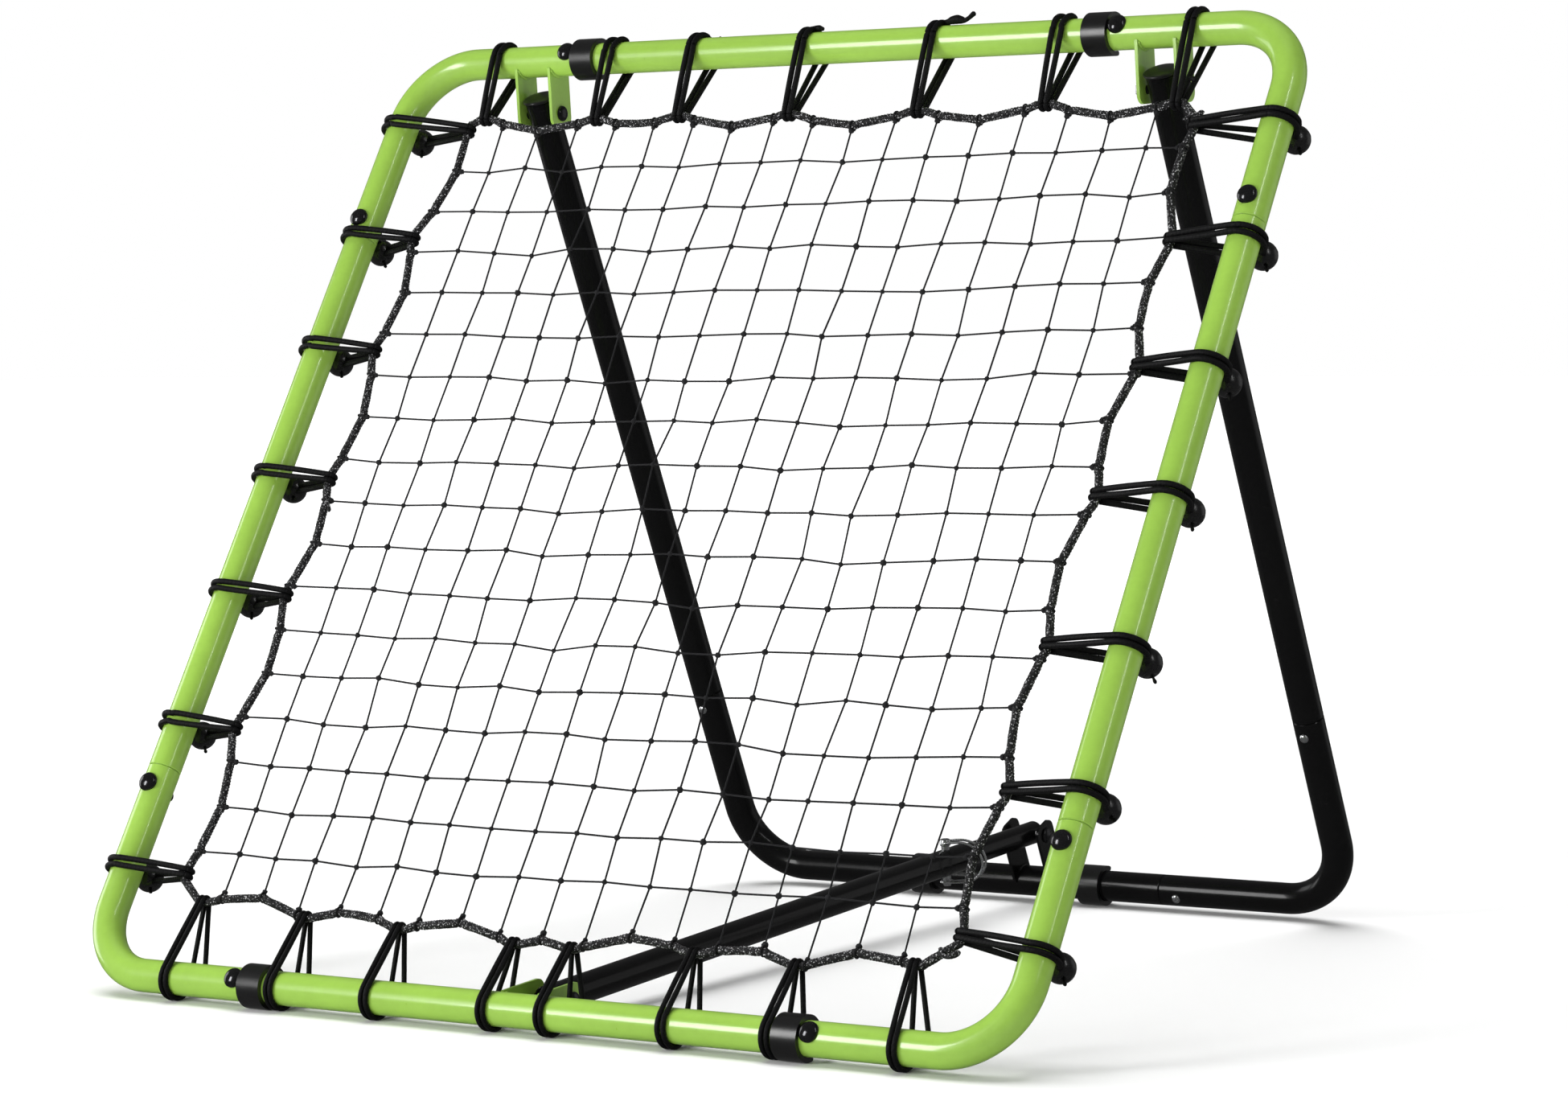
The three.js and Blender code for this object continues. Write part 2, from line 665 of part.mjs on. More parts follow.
function standCrossTube() {
  const half = LEG_X - CORNER_ARM - GAP / 2;
  const tube = straightTube(-half, half, { spigotFrom: true, spigotTo: true }).rotateY(PI / 2);
  const plates = platePair(BRACKET_DROP).map((plate) => plate.rotateX(PI));
  // The fixed nut on the far plate, with the stub of the pivot bolt in it.
  const nut = rodX(NUT_R, -PLATE_INNER - PLATE_THICKNESS - NUT, -PLATE_INNER - PLATE_THICKNESS / 2, 6);
  const stub = rodX(BOLT_HOLE_R + 0.4, -PLATE_INNER - PLATE_THICKNESS - 1, -PLATE_INNER);
  const lug = [nut, stub].map((piece) => piece.translate(0, 0, BRACKET_DROP));
  return join(tube, ...plates, ...lug);
}

// ---- Bolts -----------------------------------------------------------------------------

const domeHead = (seat) => [
  [BOLT_R, seat], [BOLT_HEAD_R, seat], [BOLT_HEAD_R, seat + 1.2],
  [BOLT_HEAD_R - 2.2, seat + BOLT_HEAD - 0.7], [0, seat + BOLT_HEAD],
];

// A bolt through both plates of a pair, with its nut on the far side.
function throughBolt() {
  const seat = PLATE_INNER + PLATE_THICKNESS + GAP;
  const shank = turned([[0, -seat - NUT - 1], [BOLT_R, -seat - NUT - 1], ...domeHead(seat)], ROUND_SIDES);
  const nut = rodX(NUT_R, -seat - NUT, -seat, 6);
  return join(shank.rotateY(PI / 2), nut);
}

// The strut's rear pivot: a short bolt through the near plate only.
function shortBolt() {
  const seat = PLATE_INNER + PLATE_THICKNESS + GAP;
  return turned([[0, PLATE_INNER - 0.5], [BOLT_R, PLATE_INNER - 0.5], ...domeHead(seat)], ROUND_SIDES)
    .rotateY(PI / 2);
}

// ---- Strut -----------------------------------------------------------------------------

// Both tubes lie along Y from the front pivot. A plain tube between two places.
function strutTube(radius, bore, from, to) {
  const tube = turned([[radius, from], [radius, to], [bore, to], [bore, from]], STRUT_SIDES);
  return tube.rotateX(-PI / 2);
}

function strutOuter() {
  const tube = strutTube(OUTER_R, OUTER_BORE_R / cos(PI / STRUT_SIDES), -STRUT_END, OUTER_LENGTH);
  const pivotHole = holeX(BOLT_HOLE_R, -OUTER_R - PAST, OUTER_R + PAST);
  const pinHole = rodZ(PIN_R + PIN_AIR, -OUTER_R - PAST, OUTER_R + PAST).translate(0, LOCK_AT, 0);
  return cut(tube, pivotHole, pinHole);
}

// The inner tube. Its row of lock holes is one slot, as long as the row.
function strutInner() {
  const front = LOCK_AT - TRAVEL;
  const tube = strutTube(INNER_R, INNER_BORE_R, front - PAST_HOLES, STRUT_LENGTH + STRUT_END);
  const pivotHole = holeX(BOLT_HOLE_R, -INNER_R - PAST, INNER_R + PAST).translate(0, STRUT_LENGTH, 0);
  const width = 2 * (PIN_R + PIN_AIR);
  const slot = new THREE.BoxGeometry(width, TRAVEL, 2 * (INNER_R + PAST));
  slot.translate(0, (front + LOCK_AT) / 2, 0);
  const ends = [front, LOCK_AT].map((y) =>
    rodZ(PIN_R + PIN_AIR, -INNER_R - PAST, INNER_R + PAST).translate(0, y, 0));
  return cut(tube, pivotHole, slot, ...ends);
}

// The pin's head is cross drilled from both sides for the ends of the bail.
function lockPin() {
  const seat = PIN_HALF - PIN_HEAD;
  const pin = turned([
    [0, -PIN_HALF], [PIN_R - 1, -PIN_HALF], [PIN_R, -PIN_HALF + 1.5], [PIN_R, seat],
    [PIN_HEAD_R, seat], [PIN_HEAD_R, PIN_HALF - 1], [PIN_HEAD_R - 1, PIN_HALF], [0, PIN_HALF],
  ], ROUND_SIDES);
  const sockets = [-1, 1].map((side) => {
    const socket = new THREE.CylinderGeometry(WIRE_R + 0.4, WIRE_R + 0.4, 4, 8);
    return socket.translate(0, side * (PIN_HEAD_R - 2 + 1), PIN_HALF - PIN_HEAD / 2);
  });
  return cut(pin, ...sockets);
}

// A run of straight steps from point to point, with one station at each.
class PointRun extends THREE.Curve {
  constructor(points) {
    super();
    this.points = points;
  }

  getPointAt(u) {
    return this.points[Math.round(u * (this.points.length - 1))].clone();
  }

  getPoint(u) {
    return this.getPointAt(u);
  }

  getTangentAt(u) {
    const i = Math.round(u * (this.points.length - 1));
    const before = this.points[Math.max(i - 1, 0)];
    const after = this.points[Math.min(i + 1, this.points.length - 1)];
    return after.clone().sub(before).normalize();
  }
}

// A doubled loop of spring wire: from one side of the pin's head, round beside the strut,
// under the pin's tip, and back to the head's other side.
function lockBail() {
  const head = PIN_HALF - PIN_HEAD / 2;
  const tip = -PIN_HALF - WIRE_R - 0.9;
  const s = BAIL_SPREAD;
  const half = [
    [0, PIN_HEAD_R - 2.2, head], [0, s + 0.3, head], [1.5, s + 1.9, head],
    [5, s + 2.2, head - 0.2], [12, s + 1.2, head - 2.2], [18, s + 0.6, head - 7],
    [BAIL_OUT - 0.6, s, 4], [BAIL_OUT, s, -4], [19.5, s, -15], [12, s, tip + 1.6],
    [3, s - 1.6, tip],
  ];
  const mirrored = [...half].reverse().map(([x, y, z]) => [x, -y, z]);
  const bend = [[-3.6, 5.2, tip], [-5.8, 0, tip], [-3.6, -5.2, tip]];
  const points = [...half, ...bend, ...mirrored].map((p) => new THREE.Vector3(...p));
  return new THREE.ExtrudeGeometry(new THREE.Shape(polygon(WIRE_R, 6)), {
    steps: points.length - 1,
    extrudePath: new PointRun(points),
  });
}

// ---- Assembly --------------------------------------------------------------------------

function piece(name, geometry, material, position = [0, 0, 0], rotationX = 0) {
  const mesh = new THREE.Mesh(welded(geometry), material);
  mesh.name = name;
  mesh.position.set(...position);
  mesh.rotation.x = rotationX;
  return mesh;
}

// The frame's plane: its middle is the group's own origin.
function frameGroup() {
  const frame = new THREE.Group();
  frame.add(piece('frame_corner_top_left', hingeCorner(-1), limePaint()));
  frame.add(piece('frame_corner_top_right', hingeCorner(1), limePaint()));
  frame.add(piece('frame_corner_bottom_left', placeCorner(-1, -1), limePaint()));
  frame.add(piece('frame_corner_bottom_right', placeCorner(1, -1), limePaint()));
  frame.add(piece('frame_rail_top', frameRail().rotateY(PI / 2), limePaint(), [0, 0, HALF]));
  frame.add(piece('frame_rail_bottom', bottomRail(), limePaint(), [0, 0, -HALF]));
  frame.add(piece('frame_rail_left', frameRail(), limePaint(), [-HALF, 0, 0]));
  frame.add(piece('frame_rail_right', frameRail(), limePaint(), [HALF, 0, 0]));
  const floorward = LEAN - PI / 2;
  for (const [sideZ, height] of [[1, 'top'], [-1, 'bottom']]) {
    for (const [sideX, side] of [[-1, 'left'], [1, 'right']]) {
      const place = [sideX * CLIP_X, 0, sideZ * HALF];
      frame.add(piece(`clip_${height}_${side}`, footClip(floorward), blackPlastic(), place));
    }
  }
  frame.add(piece('net', net(), netTwine()));
  frame.add(piece('net_border_rope', borderRope(), braidedRope()));
  for (const side of Object.keys(TIES)) {
    TIES[side].forEach((tie, i) => {
      // The two ties beside the strut's bracket keep their balls outside its bolt.
      const outside = PLATE_INNER + PLATE_THICKNESS + NUT + BALL_R + 2 * GAP;
      const beside = side === 'bottom' && Math.abs(tie[0]) < outside;
      const upright = side === 'left' || side === 'right';
      const usual = upright ? SIDE_BALL_SHIFT : 0;
      const shift = beside ? Math.sign(tie[0]) * outside - tie[0] : usual;
      frame.add(piece(`tie_${side}_${i + 1}`, ballTie(side, tie, shift), elasticCord()));
    });
  }
  const hingeAt = (side) => [
    side * LEG_X,
    HINGE_DROP * sin(PLATE_ANGLE),
    HALF - HINGE_DROP * cos(PLATE_ANGLE),
  ];
  frame.add(piece('hinge_bolt_left', throughBolt(), blackPaint(), hingeAt(-1)));
  frame.add(piece('hinge_bolt_right', throughBolt(), blackPaint(), hingeAt(1)));
  const strutAt = [0, STRUT_REACH * cos(PLATE_ANGLE), -HALF + STRUT_REACH * sin(PLATE_ANGLE)];
  frame.add(piece('strut_pivot_bolt_front', throughBolt(), blackPaint(), strutAt));
  frame.rotation.x = -LEAN;
  frame.position.set(0, HALF * sin(LEAN), HALF * cos(LEAN));
  return frame;
}

// The stand's plane: its origin is on the hinge axis and it hangs down Z.
function standGroup() {
  const stand = new THREE.Group();
  for (const [side, name] of [[-1, 'left'], [1, 'right']]) {
    const at = [side * LEG_X, 0, 0];
    stand.add(piece(`stand_leg_${name}`, standLeg(), blackPaint(), at));
    stand.add(piece(`leg_cap_${name}`, legCap(), blackPlastic(), at));
    const corner = cornerTube().rotateY(side > 0 ? -PI / 2 : 0);
    const foot = [side * LEG_X, 0, -LEG_LENGTH];
    stand.add(piece(`stand_corner_${name}`, corner, blackPaint(), foot));
    const clip = footClip(-PI / 2 - STAND_LEAN);
    const clipAt = [STAND_CLIPS[name], 0, -LEG_LENGTH];
    stand.add(piece(`stand_clip_${name}`, clip, blackPlastic(), clipAt));
  }
  stand.add(piece('stand_cross_tube', standCrossTube(), blackPaint(), [0, 0, -LEG_LENGTH]));
  const pivot = [0, 0, -LEG_LENGTH + BRACKET_DROP];
  stand.add(piece('strut_pivot_bolt_rear', shortBolt(), blackPaint(), pivot));
  stand.rotation.x = STAND_LEAN;
  stand.position.set(0, HINGE.x, HINGE.y);
  return stand;
}

// The strut: its origin is the front pivot and it runs back along Y.
function strutGroup() {
  const strut = new THREE.Group();
  strut.add(piece('strut_outer', strutOuter(), blackPaint()));
  strut.add(piece('strut_inner', strutInner(), blackPaint()));
  strut.add(piece('lock_pin', lockPin(), zincSteel(), [0, LOCK_AT, 0]));
  strut.add(piece('lock_bail', lockBail(), zincSteel(), [0, LOCK_AT, 0]));
  strut.rotation.x = STRUT_ANGLE;
  strut.position.set(0, STRUT_FRONT.x, STRUT_FRONT.y);
  return strut;
}

const rebounder = new THREE.Group();
rebounder.add(frameGroup(), standGroup(), strutGroup());
rebounder.position.set(0, 0, CLIP_R);

// Its middle, front to back, comes over the origin.
const reach = new THREE.Box3().setFromObject(rebounder, true);
rebounder.position.y = -(reach.min.y + reach.max.y) / 2;

const whole = new THREE.Group();
whole.add(rebounder);

export default whole;
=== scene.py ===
"""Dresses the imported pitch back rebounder: its coated tubes, clips, bolts, telescoping strut,
knotted net, border rope and elastic ball ties, and a plain studio stage."""

import json
from math import acos, atan2, cos, pi, radians, sin

import bmesh
import bpy
from bpy.props import FloatProperty, FloatVectorProperty, IntProperty, PointerProperty
from mathutils import Matrix, Vector, geometry, noise


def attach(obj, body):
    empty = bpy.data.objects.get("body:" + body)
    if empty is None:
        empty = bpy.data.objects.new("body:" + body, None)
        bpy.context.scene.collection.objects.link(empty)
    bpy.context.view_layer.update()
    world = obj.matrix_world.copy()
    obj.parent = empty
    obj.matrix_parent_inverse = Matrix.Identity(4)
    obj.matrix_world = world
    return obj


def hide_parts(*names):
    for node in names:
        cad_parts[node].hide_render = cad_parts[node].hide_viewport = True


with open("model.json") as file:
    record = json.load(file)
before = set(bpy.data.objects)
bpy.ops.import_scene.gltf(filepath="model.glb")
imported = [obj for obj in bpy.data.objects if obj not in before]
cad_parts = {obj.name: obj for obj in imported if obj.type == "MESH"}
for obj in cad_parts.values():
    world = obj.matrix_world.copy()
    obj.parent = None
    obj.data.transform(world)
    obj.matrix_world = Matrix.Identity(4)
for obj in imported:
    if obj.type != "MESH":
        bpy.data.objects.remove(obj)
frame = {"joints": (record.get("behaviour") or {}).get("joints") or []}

NOISE_SEED = 39
noise.seed_set(NOISE_SEED)  # or the noise would differ from run to run

bl_info = {
    "name": "Pitch Back Rebounder",
    "version": (1, 0, 0),
    "blender": (4, 5, 0),
    "location": "View3D > Sidebar > Rebounder",
    "description": "Builds the pieces of a pitch back rebounder round its packed frame",
    "category": "Add Mesh",
}

# ---- Measures, in millimetres where nothing else is said, as in the part's source ------

MM = 0.001  # a millimetre in metres

# The leaning frame.
HALF = 485.0  # from its middle to a tube's axis
LEAN = radians(32.5)
BOTTOM_TUBE_Y = -425.689
CLIP_R = 19.75

# Its tubes and the stand's.
TUBE_R = 15.0
BORE_R = 13.6
SPIGOT_R = 13.25
SPIGOT_BORE_R = 12.1
SPIGOT_LENGTH = 40.0
NECK = (1.0, 3.5)  # where the bore narrows behind a spigot
BEND_R = 66.0
BEND_STEPS = 28
CORNER_ARM = 201.0
GAP = 0.3
LIP = 0.8  # the rounding of a cut edge
TUBE_SIDES = 48

# The stand.
STAND_LEAN = 0.4042900  # in radians
LEG_X = 343.6
LEG_LENGTH = 835.0
LEG_TOP = 15.0
CAP_OVERHANG = 1.8
CAP_RIM = 1.6
CAP_CROWN = 2.8

# The plates that carry the stand and the strut, and their welds.
HINGE_DROP = 50.5
BRACKET_DROP = 54.0
PLATE_ANGLE = radians(36)
PLATE_WIDTH = 30.0
PLATE_THICKNESS = 3.0
PLATE_INNER = 18.0
PLATE_END = 12.5
PLATE_CORNER = 9.0
SADDLE_EDGE = radians(20)
SADDLE_SINK = 0.6
WELD_R = 1.5
WELD_RIPPLE = 0.35
WELD_EDGE = radians(28)
WELD_STEPS = 24

# The strut and the holes for its lock pin.
STRUT_ANGLE = 0.0595452  # in radians
STRUT_REACH = 50.0
STRUT_LENGTH = 782.9634
STRUT_END = 11.0
OUTER_R = 13.0
OUTER_BORE_R = 11.5
OUTER_LENGTH = 660.0
INNER_R = 11.15
INNER_BORE_R = 9.6
LOCK_AT = 630.0
LOCK_HOLES = 7
TRAVEL = 468.45  # from the first of them to the last
PAST_HOLES = 22.55
DRILL_REACH = 20.0  # each way from a tube's axis

# Bolts, nuts and pins. A bolt's seat is the face of the plate under its head.
BOLT_R = 4.0
BOLT_HOLE_R = 4.4
BOLT_HEAD_R = 7.5
BOLT_HEAD = 4.0
BOLT_FLANGE = 0.9
BOLT_SEAT = PLATE_INNER + PLATE_THICKNESS + 0.05
NUT_R = 6.5
NUT_CORNERS = 1.06  # the drawn hexagon's size to NUT_R
NUT = 6.0
SEAM_BOLTS = 304.0  # from the middle of the level tubes
SIDE_BOLTS = 303.0  # and of the side tubes
LEG_PIN = 648.0
CROSS_PIN_X = 162.0
# Head sizes, in metres.
SEAM_HEAD = {"Radius": 0.0092, "Height": 0.0056}
SEAM_NUT = {"Radius": 0.0058, "Height": 0.0062}
SNAP_PIN = {"Radius": 0.0045, "Height": 0.0028, "Sink": 0.001}

# The lock pin and its wire bail.
PIN_R = 4.0
PIN_HALF = 23.0
PIN_HEAD_R = 5.2
PIN_HEAD = 6.5
WIRE_R = 1.25
BAIL_OUT = 38.0
BAIL_SPREAD = 6.5
BAIL_SWING = radians(18)

# The spring clips.
CLIP_WIDTH = 25.0
CLIP_X = 283.0
CLIP_MOUTH = radians(45)
CLIP_BEVEL = 0.9
CLIP_EDGE = 30  # the angle past which its edges are rounded, in degrees
STAND_CLIPS = {"left": -132.0, "right": 64.0}

# The rope's scallops, and the net.
HOLD_HALF = 6.0  # half of the rope's straight stretch in a tie
SCALLOP = 0.105  # a scallop's depth to its width
ROPE_PEAK = 1.8  # how far a string pulls it in
PEAK_HALF = 5.0  # and along how much of it, each way
ROPE_STEP = 1.0
ROPE_BRAID = 0.0005  # how far its strands stand out, in metres
NET_WIDTH = 814.0
NET_EDGE = 420.0
# How far its middle hangs, and its crossings stray: in long waves, one by one, and in depth.
NET_SAG = 6.0
NET_WANDER = 7.0
NET_JITTER = 4.5
NET_DEPTH = 2.0

# The ties and their balls.
BALL_R = 12.5
# How far behind its tube each side's balls stand. The level tubes hide theirs.
BALL_BACK = {"top": 30, "right": 36, "bottom": 29, "left": 31}
BOTTOM_BALL_RISE = radians(10)
SIDE_BALL_SHIFT = 5.0
UNDER_CORD = 4.6  # the thickest cord that has room under the bottom tube
ON_TUBE = 0.15  # a cord's distance from the tube it goes round
ROPE_CATCH = 1.7  # the same for the rope, which gives under it
WRAP_STEPS = 18
CATCH_STEPS = 10
TAIL_STEPS = 4
NUB_GIRTH = 1.15  # the radius of the cord's end that stands out of a ball
NUB = (1, 1, 1, 1, 1, 1.1, 1.5, 1.4, 0.7)  # how that swells to its knot

# Where each tie meets its tube, and where it holds the border rope: along the tube, then
# from the frame's middle out to the rope, and then the hold's place along the tube, if it
# isn't straight across.
TIES = {
    "top": [(-385, 421), (-251, 416), (-155, 416), (-30, 413), (111, 411), (245, 413), (380, 409)],
    "right": [(385, 404), (268, 414), (143, 418), (18, 415), (-123, 410), (-256, 413),
              (-397, 410, -386)],
    "bottom": [(386, 414, 375), (263, 423), (160, 420), (34, 425),
               (-27, 425), (-154, 420), (-261, 417), (-382, 410)],
    "left": [(-384, 414), (-238, 420), (-100, 418), (23, 416), (162, 419), (286, 422),
             (412, 402, 408)],
}
# Half of the gap between a tie's two strands where they pass over its tube.
SPLAY = {
    "top": [1.2, 2.6, 0.3, 0.5, 0.4, 2.4, 0.6],
    "right": [0.2, 0.5, 0.2, 0.3, 0.1, 0.2, 0.3],
    "bottom": [0.2, 0.4, 0.8, 0.3, 0.6, 0.4, 0.3, 0.6],
    "left": [0.9, 2.4, 0.9, 1.4, 2.2, 0.8, 1.8],
}
# How far apart a tie's two strands enter its ball, in cord widths.
NECK_SPREAD = {
    "top": [1.0, 1.0, 1.7, 2.3, 1.0, 1.7, 2.3],
    "right": [2.2, 1.2, 1.1, 1.2, 1.1, 1.2, 1.1],
    "bottom": [3.8, 3.6, 3.0, 3.4, 3.6, 3.4, 3.2, 3.4],
    "left": [1.3, 1.2, 1.3, 1.2, 1.4, 1.2, 1.3],
}
# Loose cord ends: x, depth, z and radius at each point, in the frame's plane.
CORD_TAILS = [
    [(112, -6, 500.4, 2.7), (117, -8, 500.8, 2.7), (121, -9.5, 500.6, 2.8),
     (125, -10, 501.6, 3.9), (130, -10, 502.2, 4.3), (135, -9.6, 501.6, 3.4),
     (138.5, -9.6, 501.4, 2.2), (142, -9.8, 503.6, 2.0), (144.5, -10, 506.4, 2.3),
     (146, -10, 508.0, 2.5), (147, -10, 509.0, 1.1)],
    [(-33, -7, 500.8, 2.7), (-27, -8.4, 501.2, 2.7), (-21, -8.6, 501.2, 3.1),
     (-16.5, -8, 500.6, 1.6)],
    [(388, -4.6, 431, 1.6), (390.5, -5.5, 430, 2.0), (393.5, -6, 428.6, 2.7),
     (396, -6.4, 427.6, 1.5)],
]
# Loose ends of the rope's lashing, in the same way.
ROPE_TAILS = [
    [(391, 0, 391, 1.5), (396, -2, 392.4, 1.2), (401, -3, 393.6, 1.1), (405.5, -3, 394.6, 1.3),
     (408, -3, 395.4, 2.3), (410, -3, 396, 2.1), (411.5, -3, 396.3, 0.8)],
    [(395, -2, -399, 2.0), (399, -4, -404.5, 2.0), (404, -5, -406.5, 1.9),
     (408, -5, -405.6, 2.6), (411.5, -5, -404, 3.0), (414.5, -5, -402.4, 2.4),
     (416, -5, -401.6, 1.0)],
    [(-411, -2, 12, 1.3), (-409, -3, 4, 1.1), (-405, -3.4, -3, 1.1), (-402, -3, -8, 1.5),
     (-400.6, -3, -11, 2.1), (-399.8, -3, -13, 0.9)],
]
# Each side's direction along its tube and out towards it, and which way the rope runs.
SIDES = {
    "top": ((1, 0), (0, 1), 1),
    "right": ((0, 1), (1, 0), -1),
    "bottom": ((1, 0), (0, -1), -1),
    "left": ((0, 1), (-1, 0), 1),
}

FLOOR_REACH = 14.0  # from here on in metres
BACKDROP_SEEN = 1.0
BACKDROP_GLOW = 0.1
SUN_ENERGY = 2.95
SUN_ANGLE = radians(52)
SUN_TURN = (radians(-13), radians(-13), 0)
# Each soft box: its place, what it faces, its width and height, and its power in watts.
SOFT_BOXES = {
    "key": ((-1.95, -3.6, 1.5), (0, 0, 0.4), (1.05, 1.9), 92.0),
    "strip": ((2.7, -0.65, 2.33), (0.2, 0, 0.4), (0.11, 2.0), 12.0),
    "fill": ((0.2, -4.9, 1.6), (0, 0, 0.4), (2.6, 2.2), 62.0),
    "right_card": ((2.5, 2.9, 0.9), (0, 0, 0.5), (2.4, 2.6), 6.0),
    "left_card": ((-3.9, -0.4, 0.9), (0, 0, 0.5), (1.6, 2.6), 36.0),
}
CAMERA_PLACE = (2.3783, -3.5007, 0.6714)
CAMERA_BACK = (0.5619, -0.8243, 0.0689)
CAMERA_RIGHT = (0.8270, 0.5618, -0.0227)
CAMERA_LENS = 106.7  # the lens and the sensor in millimetres
CAMERA_SENSOR = 36.0
CAMERA_CLIP = 60.0


def plane(angle, y, z):
    """A matrix from a part's own millimetres, turned about X, to the model's metres."""
    turn = Matrix.Rotation(angle, 4, "X")
    return Matrix.Scale(MM, 4) @ Matrix.Translation((0, y, z)) @ turn


JOINT = {joint["name"]: joint for joint in frame["joints"]}


def joint_at(name):
    """A joint's place across X, in millimetres."""
    _, y, z = JOINT[name]["pos_m"]
    return y * 1000, z * 1000


FRAME_PLANE = plane(-LEAN, HALF * sin(LEAN) + BOTTOM_TUBE_Y, HALF * cos(LEAN) + CLIP_R)
STAND_PLANE = plane(STAND_LEAN, *joint_at("stand_hinge"))
STRUT_LINE = plane(STRUT_ANGLE, *joint_at("strut_front_pivot"))


def half_in_mm(width):
    """Half of a width, from metres."""
    return width * 500


# ---- Node trees ------------------------------------------------------------------------


class Value:
    """A socket, with the arithmetic that adds Math nodes."""

    def __init__(self, tree, socket):
        self.tree = tree
        self.socket = socket

    def _math(self, operation, *terms):
        node = self.tree.node("ShaderNodeMath", {"operation": operation}, dict(enumerate(terms)))
        return node[0]

    def __add__(self, other):
        return self._math("ADD", self, other)

    __radd__ = __add__

    def __mul__(self, other):
        return self._math("MULTIPLY", self, other)

    __rmul__ = __mul__

    def __sub__(self, other):
        return self._math("SUBTRACT", self, other)

    def __rsub__(self, other):
        return self._math("SUBTRACT", other, self)

    def __truediv__(self, other):
        return self._math("DIVIDE", self, other)

    def __gt__(self, other):
        return self._math("GREATER_THAN", self, other)

    def sine(self):
        return self._math("SINE", self)

    def size(self):
        return self._math("ABSOLUTE", self)

    def larger(self, other):
        return self._math("MAXIMUM", self, other)

    def smaller(self, other):
        return self._math("MINIMUM", self, other)

    def power(self, other):
        return self._math("POWER", self, other)

    def clamped(self):
        return self.larger(0.0).smaller(1.0)


class Placed:
    """A node, whose outputs are read by name or by place."""

    def __init__(self, tree, node):
        self.tree = tree
        self.made = node

    def __getitem__(self, key):
        if isinstance(key, int):
            shown = [s for s in self.made.outputs if s.enabled]
            return Value(self.tree, shown[key])
        return Value(self.tree, self.made.outputs[key])


class NodeTree:
    """A node tree, and the one way in which its nodes are added."""

    def __init__(self, tree):
        self.tree = tree

    def node(self, kind, settings=None, sockets=None):
        made = self.tree.nodes.new(kind)
        for key, value in (settings or {}).items():
            if key == "stops":
                self._stops(made.color_ramp, value)
            else:
                setattr(made, key, value)
        for key, value in (sockets or {}).items():
            if isinstance(key, int):
                socket = [s for s in made.inputs if s.enabled][key]
            else:
                socket = next(s for s in made.inputs if s.name == key and s.enabled)
            self.fill(socket, value)
        return Placed(self, made)

    def fill(self, socket, value):
        if isinstance(value, Placed):
            value = value[0]
        if isinstance(value, Value):
            self.tree.links.new(value.socket, socket)
        else:
            socket.default_value = value

    @staticmethod
    def _stops(ramp, stops):
        while len(ramp.elements) < len(stops):
            ramp.elements.new(0.5)
        for element, (place, shade) in zip(ramp.elements, stops):
            element.position = place
            element.color = (shade, shade, shade, 1.0)


class Finish(NodeTree):
    """A material on the Principled shader."""

    def __init__(self, name, roughness, metallic=0.0, constants=None):
        """`constants` are the sockets that are the same all over the surface."""
        self.material = bpy.data.materials.new(name)
        self.material.use_nodes = True
        super().__init__(self.material.node_tree)
        self.shader = self.tree.nodes["Principled BSDF"]
        self.set("Roughness", roughness)
        self.set("Metallic", metallic)
        for key, value in (constants or {}).items():
            self.set(key, value)

    def set(self, name, value):
        self.fill(self.shader.inputs[name], value)

    def place(self, scale=(1, 1, 1)):
        where = self.node("ShaderNodeTexCoord")["Object"]
        return self.node("ShaderNodeMapping", None, {"Vector": where, "Scale": scale})[0]

    def uv(self):
        """Along the cord in metres, and round it from 0 to 1."""
        split = self.node("ShaderNodeSeparateXYZ", None, {0: self.node("ShaderNodeTexCoord")["UV"]})
        return split["X"], split["Y"]

    def noise(self, scale, detail=2.0, roughness=0.5, vector=None):
        sockets = {"Scale": scale, "Detail": detail, "Roughness": roughness}
        sockets["Vector"] = self.place() if vector is None else vector
        return self.node("ShaderNodeTexNoise", None, sockets)["Fac"]

    def ramp(self, factor, *stops):
        made = self.node("ShaderNodeValToRGB", {"stops": stops}, {"Fac": factor})
        return self.node("ShaderNodeRGBToBW", None, {0: made["Color"]})[0]

    def mix(self, factor, first, second):
        """Two colours, each a Value or an RGB triple."""
        full = [c if isinstance(c, Value) else (*c, 1.0) for c in (first, second)]
        sockets = dict(enumerate((factor, *full)))
        return self.node("ShaderNodeMix", {"data_type": "RGBA"}, sockets)[0]

    def bump(self, height, strength, distance):
        sockets = {"Height": height, "Strength": strength, "Distance": distance}
        return self.node("ShaderNodeBump", None, sockets)[0]


